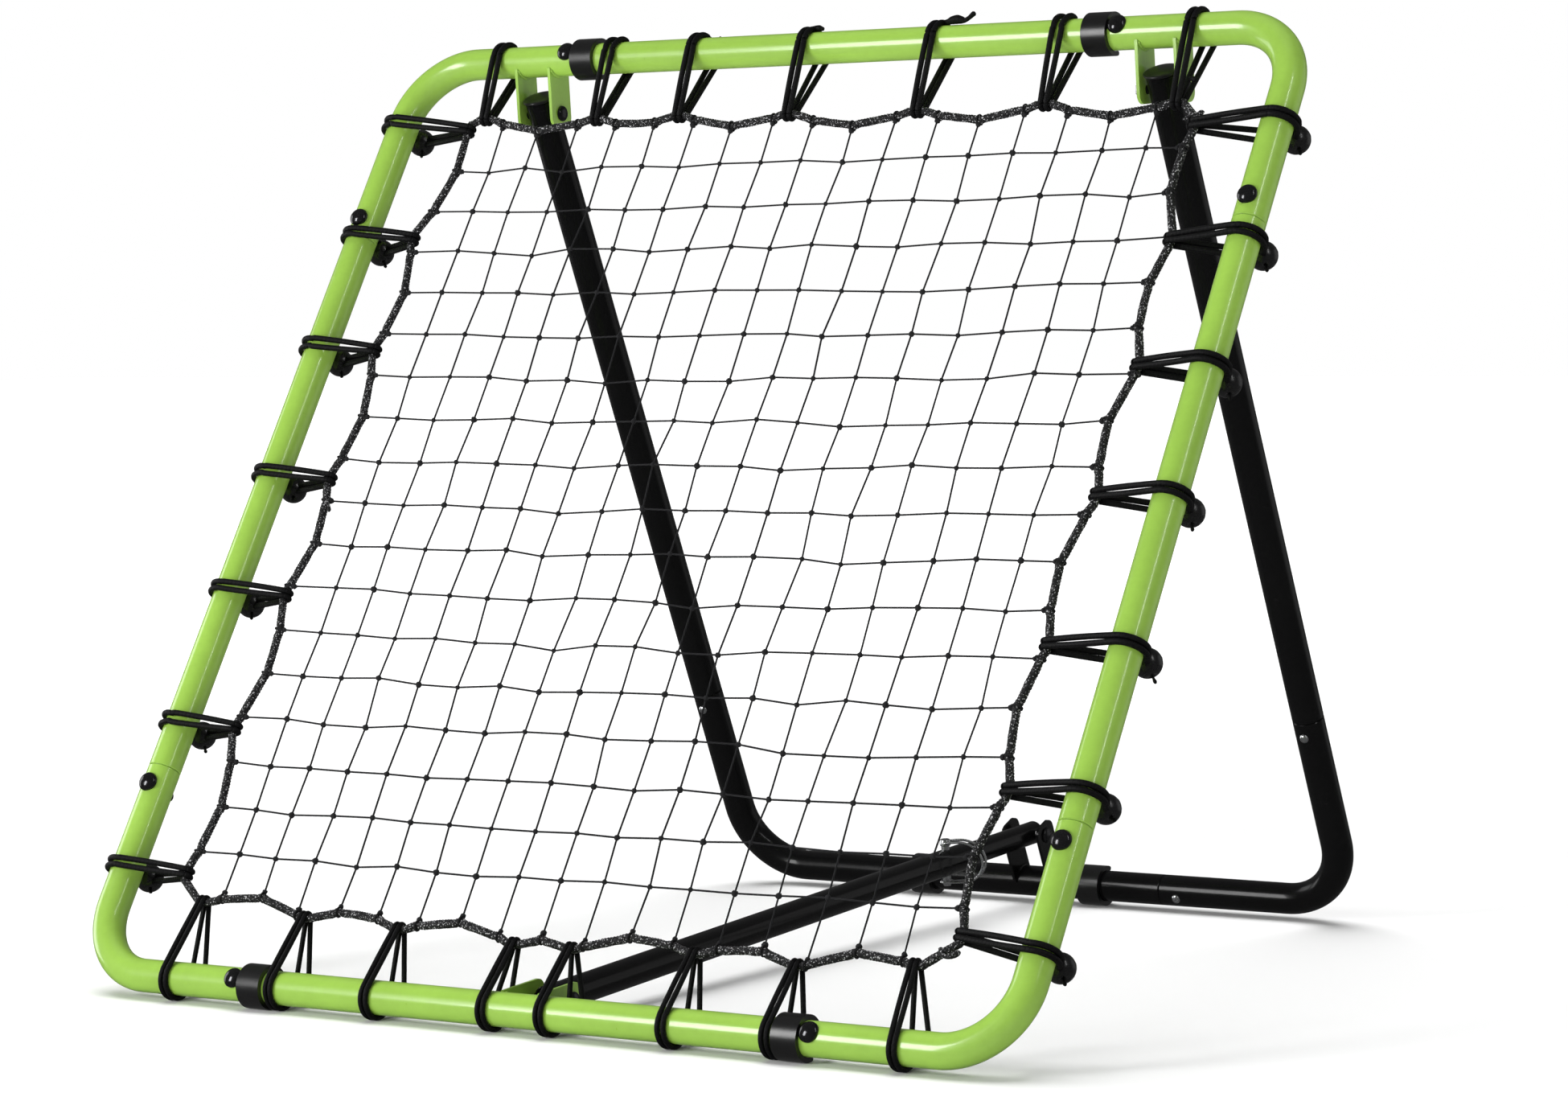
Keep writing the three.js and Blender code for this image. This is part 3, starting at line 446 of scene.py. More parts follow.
class GeometryTree(NodeTree):
    """A Geometry Nodes tree with named inputs."""

    KINDS = {
        "GEOMETRY": "NodeSocketGeometry",
        "FLOAT": "NodeSocketFloat",
        "INT": "NodeSocketInt",
        "MATERIAL": "NodeSocketMaterial",
    }

    def __init__(self, name, inputs):
        group = bpy.data.node_groups.new(name, "GeometryNodeTree")
        super().__init__(group)
        face = group.interface
        face.new_socket("Geometry", in_out="INPUT", socket_type=self.KINDS["GEOMETRY"])
        for label, (kind, default) in inputs.items():
            made = face.new_socket(label, in_out="INPUT", socket_type=self.KINDS[kind])
            if default is not None:
                made.default_value = default
        face.new_socket("Geometry", in_out="OUTPUT", socket_type=self.KINDS["GEOMETRY"])
        self.given = self.node("NodeGroupInput")

    def attribute(self, name, kind="FLOAT"):
        read = self.node("GeometryNodeInputNamedAttribute", {"data_type": kind}, {"Name": name})
        return read["Attribute"]

    def store(self, geometry_in, name, value, kind="FLOAT", domain="POINT"):
        settings = {"data_type": kind, "domain": domain}
        sockets = {"Geometry": geometry_in, "Name": name, "Value": value}
        return self.node("GeometryNodeStoreNamedAttribute", settings, sockets)[0]

    def scaled(self, vector, factor):
        sockets = {"Vector": vector, "Scale": factor}
        return self.node("ShaderNodeVectorMath", {"operation": "SCALE"}, sockets)[0]

    def position(self):
        """A point's place, whole and as its x, y and z."""
        at = self.node("GeometryNodeInputPosition")[0]
        parts = self.node("ShaderNodeSeparateXYZ", None, {0: at})
        return at, parts["X"], parts["Y"], parts["Z"]

    def random(self, kind, low, high):
        sockets = {"Min": low, "Max": high, "Seed": self.given["Seed"]}
        return self.node("FunctionNodeRandomValue", {"data_type": kind}, sockets)[0]

    def facing(self):
        """The turn that stands a shape up along its point's axis."""
        axis = self.attribute("axis", "FLOAT_VECTOR")
        return self.node("FunctionNodeAlignRotationToVector", {"axis": "Z"}, {"Vector": axis})[0]

    def smooth(self, mesh):
        return self.node("GeometryNodeSetShadeSmooth", None, {0: mesh})[0]

    def stood(self, mesh, shape, turn, **more):
        """Ends the tree with a mesh, in its new shape, at each point that is given."""
        moved = self.node("GeometryNodeSetPosition", None, {"Geometry": mesh, "Position": shape})[0]
        sockets = {"Points": self.given["Geometry"], "Instance": self.smooth(moved)}
        sockets.update({"Rotation": turn, **more})
        return self.end(self.node("GeometryNodeInstanceOnPoints", None, sockets))

    def end(self, geometry_out):
        whole = self.node("GeometryNodeRealizeInstances", None, {0: geometry_out})
        sockets = {"Geometry": whole, "Material": self.given["Material"]}
        dressed = self.node("GeometryNodeSetMaterial", None, sockets)
        self.node("NodeGroupOutput", None, {0: dressed})
        return self.tree


def grown(source, tree, values, name):
    """The plain mesh that a Geometry Nodes tree makes of an object, which is then removed."""
    modifier = source.modifiers.new(tree.name, "NODES")
    modifier.node_group = tree
    sockets = {s.name: s.identifier for s in tree.interface.items_tree if s.in_out == "INPUT"}
    for label, value in values.items():
        modifier[sockets[label]] = value
    bpy.context.view_layer.update()
    ready = source.evaluated_get(bpy.context.evaluated_depsgraph_get())
    mesh = bpy.data.meshes.new_from_object(ready)
    source.modifiers.clear()
    bpy.data.objects.remove(source)
    mesh.name = name
    piece = bpy.data.objects.new(name, mesh)
    bpy.context.scene.collection.objects.link(piece)
    return piece


def cord_tree():
    """A round cord along each curve, with a UV map of its length and its turn.

    `Lumps` swells and pinches it, and `Braid` raises crossing strands on it."""
    tree = GeometryTree("round_cord", {
        "Radius": ("FLOAT", 0.002),
        "Sides": ("INT", 8),
        "Lumps": ("FLOAT", 0.0),
        "Braid": ("FLOAT", 0.0),
        "Pitch": ("FLOAT", 0.012),
        "Material": ("MATERIAL", None),
    })
    spot = tree.node("GeometryNodeInputPosition")[0]
    uneven = tree.node("ShaderNodeTexNoise", None, {"Vector": spot, "Scale": 110.0, "Detail": 1.0})
    girth = (uneven[0] - 0.5) * tree.given["Lumps"] + 1.0
    girth = girth * tree.node("GeometryNodeInputRadius")[0]
    spline = tree.node("GeometryNodeSplineParameter")
    line = tree.store(tree.given["Geometry"], "along", spline["Length"])
    circle = tree.node("GeometryNodeCurvePrimitiveCircle", None, {
        "Resolution": tree.given["Sides"],
        "Radius": tree.given["Radius"],
    })
    tube = tree.node("GeometryNodeCurveToMesh", None, {
        "Curve": line,
        "Profile Curve": tree.store(circle["Curve"], "around", spline["Factor"]),
        "Scale": girth,
        "Fill Caps": True,
    })["Mesh"]
    along = tree.attribute("along")
    around = tree.attribute("around")
    carriers = 4
    first = (along / tree.given["Pitch"] + around) * (carriers * 2 * pi)
    second = (along / tree.given["Pitch"] - around) * (carriers * 2 * pi)
    raised = first.sine().larger(second.sine()) * tree.given["Braid"]
    lift = tree.scaled(tree.node("GeometryNodeInputNormal")["Normal"], raised)
    tube = tree.node("GeometryNodeSetPosition", None, {"Geometry": tube, "Offset": lift})[0]
    # Where a face closes the turn, its corners at nought belong at one.
    settings = {"data_type": "FLOAT", "domain": "FACE"}
    mean = tree.node("GeometryNodeFieldOnDomain", settings, {"Value": around})[0]
    turn = around + ((mean - around) > 0.25)
    both = tree.node("ShaderNodeCombineXYZ", None, {"X": along, "Y": turn})[0]
    return tree.end(tree.smooth(tree.store(tube, "UVMap", both, "FLOAT2", "CORNER")))


def ball_tree():
    """A moulded ball at each point, dimpled where its cord goes in and out."""
    tree = GeometryTree("tie_ball", {
        "Radius": ("FLOAT", 0.0125),
        "Hole": ("FLOAT", 0.003),
        "Material": ("MATERIAL", None),
    })
    sockets = {"Segments": 32, "Rings": 24, "Radius": tree.given["Radius"]}
    ball = tree.node("GeometryNodeMeshUVSphere", None, sockets)["Mesh"]
    at, x, y, z = tree.position()
    out = (x * x + y * y).power(0.5)
    dimple = (1.0 - out / tree.given["Hole"]).clamped()
    half_seam = 0.0006
    seam = (1.0 - z.size() / half_seam).clamped() * 0.012
    return tree.stood(ball, tree.scaled(at, 1.0 - dimple * 0.3 + seam), tree.facing())


def knot_tree():
    """A small knot at each crossing of the net, no two turned alike."""
    tree = GeometryTree("net_knot", {
        "Width": ("FLOAT", 0.0044),
        "Seed": ("INT", 3),
        "Material": ("MATERIAL", None),
    })
    lump = tree.node("GeometryNodeMeshIcoSphere", None, {"Radius": 0.5, "Subdivisions": 2})["Mesh"]
    at = tree.node("GeometryNodeInputPosition")[0]
    bumps = tree.node("ShaderNodeTexNoise", None, {"Vector": at, "Scale": 3.2})[0]
    turn = tree.random("FLOAT_VECTOR", (0.0, 0.0, 0.0), (2 * pi, 2 * pi, 2 * pi))
    width = tree.random("FLOAT", 0.85, 1.2) * tree.given["Width"]
    return tree.stood(lump, tree.scaled(at, bumps * 0.9 + 0.55), turn, Scale=width)


def head_tree():
    """A low domed head at each point, facing along its axis."""
    tree = GeometryTree("domed_head", {
        "Radius": ("FLOAT", 0.0078),
        "Height": ("FLOAT", 0.004),
        "Sink": ("FLOAT", 0.0022),
        "Material": ("MATERIAL", None),
    })
    sockets = {"Segments": 32, "Rings": 24, "Radius": 1.0}
    body = tree.node("GeometryNodeMeshUVSphere", None, sockets)["Mesh"]
    _, x, y, z = tree.position()
    radius = tree.given["Radius"]
    top = z.larger(0.0) * tree.given["Height"]
    # The lower half goes straight into the tube, and is cut short there.
    cut = 0.3
    foot = z.smaller(0.0).larger(-cut) * tree.given["Sink"] / cut
    shape = tree.node("ShaderNodeCombineXYZ", None, {
        "X": x * radius,
        "Y": y * radius,
        "Z": top + foot,
    })[0]
    return tree.stood(body, shape, tree.facing())


# ---- Finishes --------------------------------------------------------------------------


def powder_coat(name, colour, deep, roughness, wear, specular=0.5):
    """Thick glossy coat over steel: orange peel, uneven depth and a few rubbed marks."""
    constants = {"Coat Roughness": 0.11, "Specular IOR Level": specular}
    coat = Finish(name, roughness, constants=constants)
    cloud = coat.noise(9.0, 4.0, 0.55)
    fine = coat.noise(160.0, 3.0)
    marks = coat.noise(1.0, 5.0, 0.7, coat.place((70, 70, 240)))
    scuff = coat.ramp(marks, (0.66, 0.0), (0.74, 1.0)) * coat.ramp(cloud, (0.5, 0.0), (0.62, 1.0))
    tone = coat.mix(coat.ramp(cloud * 0.7 + fine * 0.3, (0.35, 0.0), (0.68, 1.0)), deep, colour)
    rubbed = tuple(c * 0.7 + 0.06 for c in colour)
    coat.set("Base Color", coat.mix(scuff * wear, tone, rubbed))
    coat.set("Roughness", roughness + fine * 0.06 + scuff * 0.25 * wear)
    coat.set("Coat Weight", specular - scuff * 0.4 * wear)
    peel = coat.noise(620.0, 2.0, 0.6) + coat.noise(240.0, 1.0) * 0.8
    coat.set("Normal", coat.bump(peel, 0.1, 0.0004))
    return coat.material


def moulded_plastic(name, colour, roughness):
    """Injection-moulded black plastic: fine spark grain, and paler handling marks in patches."""
    plastic = Finish(name, roughness, constants={"Specular IOR Level": 0.6})
    cloud = plastic.noise(40.0, 4.0, 0.6)
    grain = plastic.noise(1900.0, 2.0, 0.7)
    rub = plastic.ramp(plastic.noise(300.0, 4.0, 0.75), (0.6, 0.0), (0.78, 1.0))
    pale = tuple(c + 0.012 for c in colour)
    plastic.set("Base Color", plastic.mix(rub * 0.5 + cloud * 0.25, colour, pale))
    plastic.set("Roughness", roughness + cloud * 0.12 + rub * 0.1)
    plastic.set("Normal", plastic.bump(grain, 0.1, 0.0002))
    return plastic.material


def bright_zinc(name, colour):
    """Zinc plate on drawn steel: faint draw lines, a mottled bloom and dull spots."""
    zinc = Finish(name, 0.28, 1.0)
    lines = zinc.noise(1.0, 3.0, 0.6, zinc.place((2200, 180, 2200)))
    bloom = zinc.noise(120.0, 5.0, 0.6)
    dull = zinc.ramp(bloom, (0.45, 0.0), (0.75, 1.0))
    zinc.set("Base Color", zinc.mix(dull * 0.6, colour, tuple(c * 0.62 for c in colour)))
    zinc.set("Roughness", 0.2 + dull * 0.22 + lines * 0.1)
    zinc.set("Normal", zinc.bump(lines + bloom * 0.4, 0.2, 0.0002))
    return zinc.material


def blackened_steel(name):
    """Bolts blackened and polished: a dark mirror, mottled, with small pits."""
    steel = Finish(name, 0.12, 0.9)
    cloud = steel.noise(180.0, 4.0, 0.6)
    pits = steel.ramp(steel.noise(900.0, 2.0), (0.62, 0.0), (0.72, 1.0))
    steel.set("Base Color", steel.mix(cloud * 0.6, (0.035, 0.035, 0.037), (0.075, 0.075, 0.078)))
    steel.set("Roughness", 0.1 + cloud * 0.08 + pits * 0.2)
    steel.set("Normal", steel.bump(cloud - pits * 0.5, 0.1, 0.0002))
    return steel.material


def braided_cover(name, colour, pale, pitch, carriers, glint_amount):
    """A braided sleeve: two sets of strands that wind opposite ways, over and under, with painted
    glints on the raised strands where asked.
    """
    cover = Finish(name, 0.6, constants={"Specular IOR Level": 0.2})
    along, around = cover.uv()
    one = (along / pitch + around * carriers) * (2 * pi)
    two = (along / pitch - around * carriers) * (2 * pi)
    first = one.sine()
    second = two.sine()
    weave = (first * second) * 0.5 + 0.5
    strands = first.larger(second) * 0.5 + 0.5
    height = weave * 0.6 + strands * 0.4
    fuzz = cover.noise(2600.0, 3.0, 0.7)
    # Painted glints: flecks of the pale colour on the raised strands stand in for light caught by
    # the braid.
    painted_glints = cover.ramp(cover.noise(680.0, 1.0, 0.5), (0.61, 0.0), (0.64, 1.0)) * glint_amount
    # Besides the glints, the mask makes the weave and the fuzz a little paler.
    mask = (weave.power(3.0) * 0.03 + fuzz * 0.03 + painted_glints * strands).clamped()
    cover.set("Base Color", cover.mix(mask, colour, pale))
    cover.set("Roughness", 0.45 + fuzz * 0.3)
    cover.set("Normal", cover.bump(height + fuzz * 0.25, 0.75, 0.0006))
    return cover.material


def twisted_twine(name, colour, pale):
    """Net twine of three plies, and the fuzz that stands on it."""
    twine = Finish(name, 0.85, constants={"Specular IOR Level": 0.2})
    along, around = twine.uv()
    ply = ((along / 0.006 + around * 3.0) * (2 * pi)).sine() * 0.5 + 0.5
    fuzz = twine.noise(3000.0, 3.0, 0.7)
    faded = twine.noise(30.0, 3.0, 0.6)
    mask = (ply * 0.35 + fuzz * 0.3 + faded * 0.25).clamped()
    twine.set("Base Color", twine.mix(mask, colour, pale))
    twine.set("Roughness", 0.72 + fuzz * 0.2)
    twine.set("Normal", twine.bump(ply + fuzz * 0.4, 0.6, 0.0004))
    return twine.material


def studio_floor():
    """Pale matt paper that glows with painted light, faintly near the object and more strongly away
    from it, so that it fades into the white backdrop.
    """
    floor = Finish("studio_floor", 0.75)
    cloud = floor.noise(1.4, 3.0)
    floor.set("Base Color", floor.mix(cloud * 0.3, (0.93, 0.93, 0.93), (0.91, 0.91, 0.91)))
    floor.set("Normal", floor.bump(floor.noise(500.0, 2.0), 0.03, 0.0003))
    # Painted light: the floor's emission is slight within a metre of the object and rises out to
    # three metres.
    away = floor.node("ShaderNodeVectorMath", {"operation": "LENGTH"}, {0: floor.place()})["Value"]
    ramp_reach = 5.0
    painted_floor_glow = floor.ramp(away / ramp_reach, (0.2, 0.02), (0.6, 0.35))
    floor.set("Emission Color", floor.mix(painted_floor_glow, (0.0, 0.0, 0.0), (1.0, 1.0, 1.0)))
    floor.set("Emission Strength", 1.0)
    return floor.material


MATERIALS = {}


def material(name):
    """The finish of that name, made from the panel's colours when it is first asked for."""
    if name not in MATERIALS:
        colours = bpy.context.scene.rebounder_colours
        lime = tuple(colours.lime)
        black = tuple(colours.black)
        cord = tuple(colours.cord)
        makers = {
            "lime_paint": lambda: powder_coat(
                name, lime, tuple(c * 0.86 for c in lime), 0.26, 0.25),
            "black_paint": lambda: powder_coat(
                name, black, tuple(c * 0.7 for c in black), 0.2, 0.2, 0.14),
            "black_plastic": lambda: moulded_plastic(name, black, 0.24),
            "black_bolt": lambda: blackened_steel(name),
            "elastic_cord": lambda: braided_cover(
                name, cord, (0.03, 0.03, 0.032), 0.0042, 4, 0.0),
            "tie_ball": lambda: moulded_plastic(name, black, 0.2),
            # The rope's pale colour is mostly that of its painted glints.
            "braided_rope": lambda: braided_cover(
                name, cord, (0.42, 0.42, 0.43), 0.012, 4, 1.0),
            "net_twine": lambda: twisted_twine(name, cord, (0.03, 0.03, 0.032)),
            "zinc_steel": lambda: bright_zinc(name, tuple(colours.zinc)),
            "studio_floor": studio_floor,
        }
        MATERIALS[name] = makers[name]()
    return MATERIALS[name]


# ---- Meshes ----------------------------------------------------------------------------


def frame_about(direction):
    """Two directions square to a direction and to each other."""
    w = Vector(direction).normalized()
    u = w.cross((0, 0, 1)) if abs(w.z) < 0.9 else w.cross((0, 1, 0))
    u.normalize()
    return u, w.cross(u)


def arc(radius, start, end, steps, centre=(0.0, 0.0)):
    """Points of an arc in a plane, both ends included."""
    turn = (end - start) / steps
    return [(centre[0] + radius * cos(start + turn * i), centre[1] + radius * sin(start + turn * i))
            for i in range(steps + 1)]


def circle(centre, u, v, radius, sides):
    """Points of a circle in the plane of two directions."""
    middle = Vector(centre)
    return [middle + (u * cos(t) + v * sin(t)) * radius
            for t in (2 * pi * k / sides for k in range(sides))]


class Shape:
    """The faces of one piece, gathered part by part in its own millimetres."""

    def __init__(self, place):
        self.place = place
        self.points = []
        self.faces = []

    def _add(self, points):
        start = len(self.points)
        self.points.extend(self.place @ Vector(p) for p in points)
        return start

    def skin(self, rings, closed=False):
        """Faces from ring to ring. The last joins the first, or both ends are capped."""
        size = len(rings[0])
        starts = [self._add(ring) for ring in rings]
        pairs = list(zip(starts, starts[1:]))
        if closed:
            pairs.append((starts[-1], starts[0]))
        for a, b in pairs:
            for k in range(size):
                m = (k + 1) % size
                self.faces.append((a + k, a + m, b + m, b + k))
        if not closed:
            self.faces.append(tuple(range(starts[0] + size - 1, starts[0] - 1, -1)))
            self.faces.append(tuple(range(starts[-1], starts[-1] + size)))

    def turned(self, profile, origin, direction, sides=TUBE_SIDES, closed=False):
        """A profile of (radius, height) pairs turned about a line."""
        u, v = frame_about(direction)
        w = Vector(direction).normalized()
        self.skin([circle(Vector(origin) + w * height, u, v, radius, sides)
                   for radius, height in profile], closed)

    def drill(self, radius, origin, direction, reach=DRILL_REACH):
        """A round cutter, as long each way from its origin."""
        self.turned([(radius, -reach), (radius, reach)], origin, direction, 24)

    def swept(self, path, radii, across, sides):
        """A solid round bar along a path, with a radius for each of its points."""
        rings = []
        for i, (here, radius) in enumerate(zip(path, radii)):
            before = Vector(path[max(i - 1, 0)])
            after = Vector(path[min(i + 1, len(path) - 1)])
            w = (after - before).normalized()
            u = Vector(across) - w * w.dot(across)
            u.normalize()
            rings.append(circle(here, u, w.cross(u), radius, sides))
        self.skin(rings)

    def sheet(self, outline, holes, start, thickness):
        """A flat plate along X from a drawn outline of (y, z) pairs, with holes in it."""
        loops = [outline, *holes]
        flat = [[Vector((y, z, 0)) for y, z in loop] for loop in loops]
        triangles = geometry.tessellate_polygon(flat)
        near = self._add((start, y, z) for loop in loops for y, z in loop)
        far = self._add((start + thickness, y, z) for loop in loops for y, z in loop)
        for a, b, c in triangles:
            self.faces.append((near + a, near + b, near + c))
            self.faces.append((far + c, far + b, far + a))
        first = 0
        for loop in loops:
            for k in range(len(loop)):
                a = first + k
                b = first + (k + 1) % len(loop)
                self.faces.append((near + a, near + b, far + b, far + a))
            first += len(loop)

    def made(self, name, finish, edge=40, bevel=None):
        """The piece as an object, faces out, with sharp edges kept and bevelled if asked."""
        mesh = bpy.data.meshes.new(name)
        mesh.from_pydata([tuple(p) for p in self.points], [], self.faces)
        work = bmesh.new()
        work.from_mesh(mesh)
        bmesh.ops.remove_doubles(work, verts=work.verts, dist=1e-7)
        bmesh.ops.recalc_face_normals(work, faces=work.faces)
        work.to_mesh(mesh)
        work.free()
        mesh.shade_smooth()
        mesh.set_sharp_from_angle(angle=radians(edge))
        mesh.materials.append(material(finish))
        piece = bpy.data.objects.new(name, mesh)
        bpy.context.scene.collection.objects.link(piece)
        if bevel:
            rounding = piece.modifiers.new("edges", "BEVEL")
            rounding.width = bevel * MM
            rounding.segments = 3
            rounding.limit_method = "ANGLE"
            rounding.angle_limit = radians(edge)
        return piece


def belongs(piece, body, slot, *nodes):
    """Rides a finished piece on its body, in the place of its nodes."""
    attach(piece, body)
    if nodes:
        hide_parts(*nodes)
    return piece


def drilled(piece, cutter):
    """A piece with the holes of a cutter in it, as a plain mesh."""
    cut = piece.modifiers.new("holes", "BOOLEAN")
    cut.operation = "DIFFERENCE"
    cut.solver = "EXACT"
    cut.object = cutter
    bpy.context.view_layer.update()
    ready = piece.evaluated_get(bpy.context.evaluated_depsgraph_get())
    mesh = bpy.data.meshes.new_from_object(ready)
    piece.modifiers.clear()
    piece.data = mesh
    bpy.data.objects.remove(cutter)
    mesh.shade_smooth()
    mesh.set_sharp_from_angle(angle=radians(35))
    return piece


def smoothed(points, steps, closed=False):
    """A curve through points, with more points between each two."""
    pts = [Vector(p) for p in points]
    count = len(pts)
    spans = count if closed else count - 1
    line = []
    for i in range(spans):
        a, b = pts[i], pts[(i + 1) % count]
        before = pts[i - 1] if closed or i else a + (a - b)
        after = pts[(i + 2) % count] if closed or i + 2 < count else b + (b - a)
        for k in range(steps):
            t = k / steps
            square = 2 * before - 5 * a + 4 * b - after
            cube = 3 * a - before - 3 * b + after
            line.append(0.5 * ((2 * a) + (b - before) * t + square * t * t + cube * t ** 3))
    if not closed:
        line.append(pts[-1])
    return line


def loose_ends(tails):
    """The smoothed lines of some loose ends, and the radius at each of their points."""
    lines = [smoothed([point[:3] for point in tail], TAIL_STEPS) for tail in tails]
    girths = []
    for tail in tails:
        radii = [point[3] for point in tail]
        girths.append([a + (b - a) * k / TAIL_STEPS
                       for a, b in zip(radii, radii[1:]) for k in range(TAIL_STEPS)])
        girths[-1].append(radii[-1])
    return lines, girths


def evenly(line, step):
    """A closed line with its points set again at even steps."""
    loop = [Vector(p) for p in line]
    loop.append(loop[0])
    spans = [(b - a).length for a, b in zip(loop, loop[1:])]
    count = round(sum(spans) / step)
    length = sum(spans) / count
    even, i, done = [], 0, 0.0
    for k in range(count):
        while done + spans[i] < k * length:
            done += spans[i]
            i += 1
        even.append(loop[i].lerp(loop[i + 1], (k * length - done) / spans[i]))
    return even


def curves(name, lines, place, closed=False, girths=None):
    """A curve object with a line for each list of points, as thick as `girths` says."""
    data = bpy.data.curves.new(name, "CURVE")
    data.dimensions = "3D"
    for i, line in enumerate(lines):
        spline = data.splines.new("POLY")
        spline.points.add(len(line) - 1)
        for k, (point, at) in enumerate(zip(spline.points, line)):
            point.co = (*(place @ Vector(at)), 1.0)
            point.radius = girths[i][k] if girths else 1.0
        spline.use_cyclic_u = closed
    made = bpy.data.objects.new(name, data)
    bpy.context.scene.collection.objects.link(made)
    return made


def corded(name, lines, place, radius, sides, finish, closed=False, girths=None, **more):
    """Round cord along lines of points, as one piece. Its radius is in metres."""
    source = curves(f"{name}_lines", lines, place, closed, girths)
    values = {"Radius": radius, "Sides": sides, "Material": material(finish), **more}
    return grown(source, cord_tree(), values, name)


def dots(name, places, place, axes=None):
    """Loose points, each with the axis of what will stand there."""
    mesh = bpy.data.meshes.new(name)
    mesh.from_pydata([tuple(place @ Vector(p)) for p in places], [], [])
    if axes:
        turned = [place.to_3x3() @ Vector(a) for a in axes]
        stored = mesh.attributes.new("axis", "FLOAT_VECTOR", "POINT")
        for item, axis in zip(stored.data, turned):
            item.vector = axis.normalized()
    made = bpy.data.objects.new(name, mesh)
    bpy.context.scene.collection.objects.link(made)
    return made


def studded(name, tree, places, place, axes, finish, **sizes):
    """One shape at each of some points, as one piece. Its sizes are in metres."""
    source = dots(f"{name}_at", places, place, axes)
    return grown(source, tree, {**sizes, "Material": material(finish)}, name)


# ---- Tubes -----------------------------------------------------------------------------


def corner_shell(shape, place):
    """A bent corner: `place` maps its two arms, out along X and up along Z, to the part."""
    mouth = CORNER_ARM - GAP / 2
    stations = [((mouth, 0), pi), ((mouth - LIP, 0), pi)]
    for i in range(BEND_STEPS + 1):
        turn = (i / BEND_STEPS) * pi / 2
        at = (BEND_R - BEND_R * sin(turn), BEND_R - BEND_R * cos(turn))
        stations.append((at, pi - turn))
    stations += [((0, mouth - LIP), pi / 2), ((0, mouth), pi / 2)]
    last = len(stations) - 1

    def ring(i, radius):
        (x, z), heading = stations[i]
        out = Vector((sin(heading), 0, -cos(heading)))
        points = circle((x, 0, z), out, Vector((0, 1, 0)), radius, TUBE_SIDES)
        return [place(point) for point in points]

    outer = [ring(i, TUBE_R - (LIP if i in (0, last) else 0)) for i in range(last + 1)]
    inner = [ring(i, BORE_R) for i in range(last, -1, -1)]
    shape.skin(outer + inner, closed=True)


def straight_shell(shape, start, end, direction, spigots=(True, True), centre=(0, 0, 0)):
    """A straight tube drawn in to a spigot where it is pushed into a corner."""
    outside, inside = [], []
    if spigots[0]:
        outside += [(SPIGOT_R, start - SPIGOT_LENGTH), (SPIGOT_R, start)]
        inside += [(SPIGOT_BORE_R, start - SPIGOT_LENGTH), (SPIGOT_BORE_R, start + NECK[0])]
        inside.append((BORE_R, start + NECK[1]))
    else:
        inside.append((BORE_R, start))
    outside += [(TUBE_R - LIP, start), (TUBE_R, start + LIP)]
    outside += [(TUBE_R, end - LIP), (TUBE_R - LIP, end)]
    if spigots[1]:
        outside += [(SPIGOT_R, end), (SPIGOT_R, end + SPIGOT_LENGTH)]
        inside += [(BORE_R, end - NECK[1]), (SPIGOT_BORE_R, end - NECK[0])]
        inside.append((SPIGOT_BORE_R, end + SPIGOT_LENGTH))
    else:
        inside.append((BORE_R, end))
    shape.turned(outside + inside[::-1], centre, direction, closed=True)


def plate_outline(drop):
    """A hanging plate: a saddle on the tube above, straight sides and rounded corners."""
    half = PLATE_WIDTH / 2
    saddle = TUBE_R - SADDLE_SINK
    top = arc(saddle, pi + SADDLE_EDGE, 2 * pi - SADDLE_EDGE, 16)
    shoulder = -saddle * sin(SADDLE_EDGE) - 1
    inset = half - PLATE_CORNER
    low = PLATE_CORNER - drop - PLATE_END
    end = arc(PLATE_CORNER, 0, -pi / 2, 10, (inset, low))
    end += arc(PLATE_CORNER, -pi / 2, -pi, 10, (-inset, low))
    return [*top, (half, shoulder), *end, (-half, shoulder)]


def plate_pair(shape, drop, angle, centre):
    """Two plates with a bolt hole, welded to the tube on both faces."""
    c, s = cos(angle), sin(angle)

    def turned(y, z):
        return (centre[1] + y * c - z * s, centre[2] + y * s + z * c)

    outline = [turned(y, z) for y, z in plate_outline(drop)]
    hole = [turned(y, z) for y, z in arc(BOLT_HOLE_R, 0, 2 * pi, 24, (0, -drop))[:-1]]
    for side in (-1, 1):
        inner = PLATE_INNER if side > 0 else -PLATE_INNER - PLATE_THICKNESS
        shape.sheet(outline, [hole], centre[0] + inner, PLATE_THICKNESS)
        for face in (inner - 0.4, inner + PLATE_THICKNESS + 0.4):
            bead, widths = [], []
            for i in range(WELD_STEPS + 1):
                a = pi + WELD_EDGE + (pi - 2 * WELD_EDGE) * i / WELD_STEPS
                ripple = noise.noise(Vector((i * 1.7, face * 0.3, drop + centre[0])))
                y, z = turned((TUBE_R + 0.2) * cos(a), (TUBE_R + 0.2) * sin(a))
                bead.append((centre[0] + face, y, z))
                end = 0.3 if i in (0, WELD_STEPS) else 1.0
                widths.append((WELD_R + WELD_RIPPLE * ripple) * end)
            shape.swept(bead, widths, (1, 0, 0), 8)


def frame_corner(side_x, side_z):
    """A corner of the leaning frame. The upper two carry the stand's plates."""
    shape = Shape(FRAME_PLANE)
    corner_shell(shape, lambda p: Vector((side_x * (HALF - p.x), p.y, side_z * (HALF - p.z))))
    if side_z > 0:
        plate_pair(shape, HINGE_DROP, PLATE_ANGLE, (side_x * LEG_X, 0, HALF))
    return shape


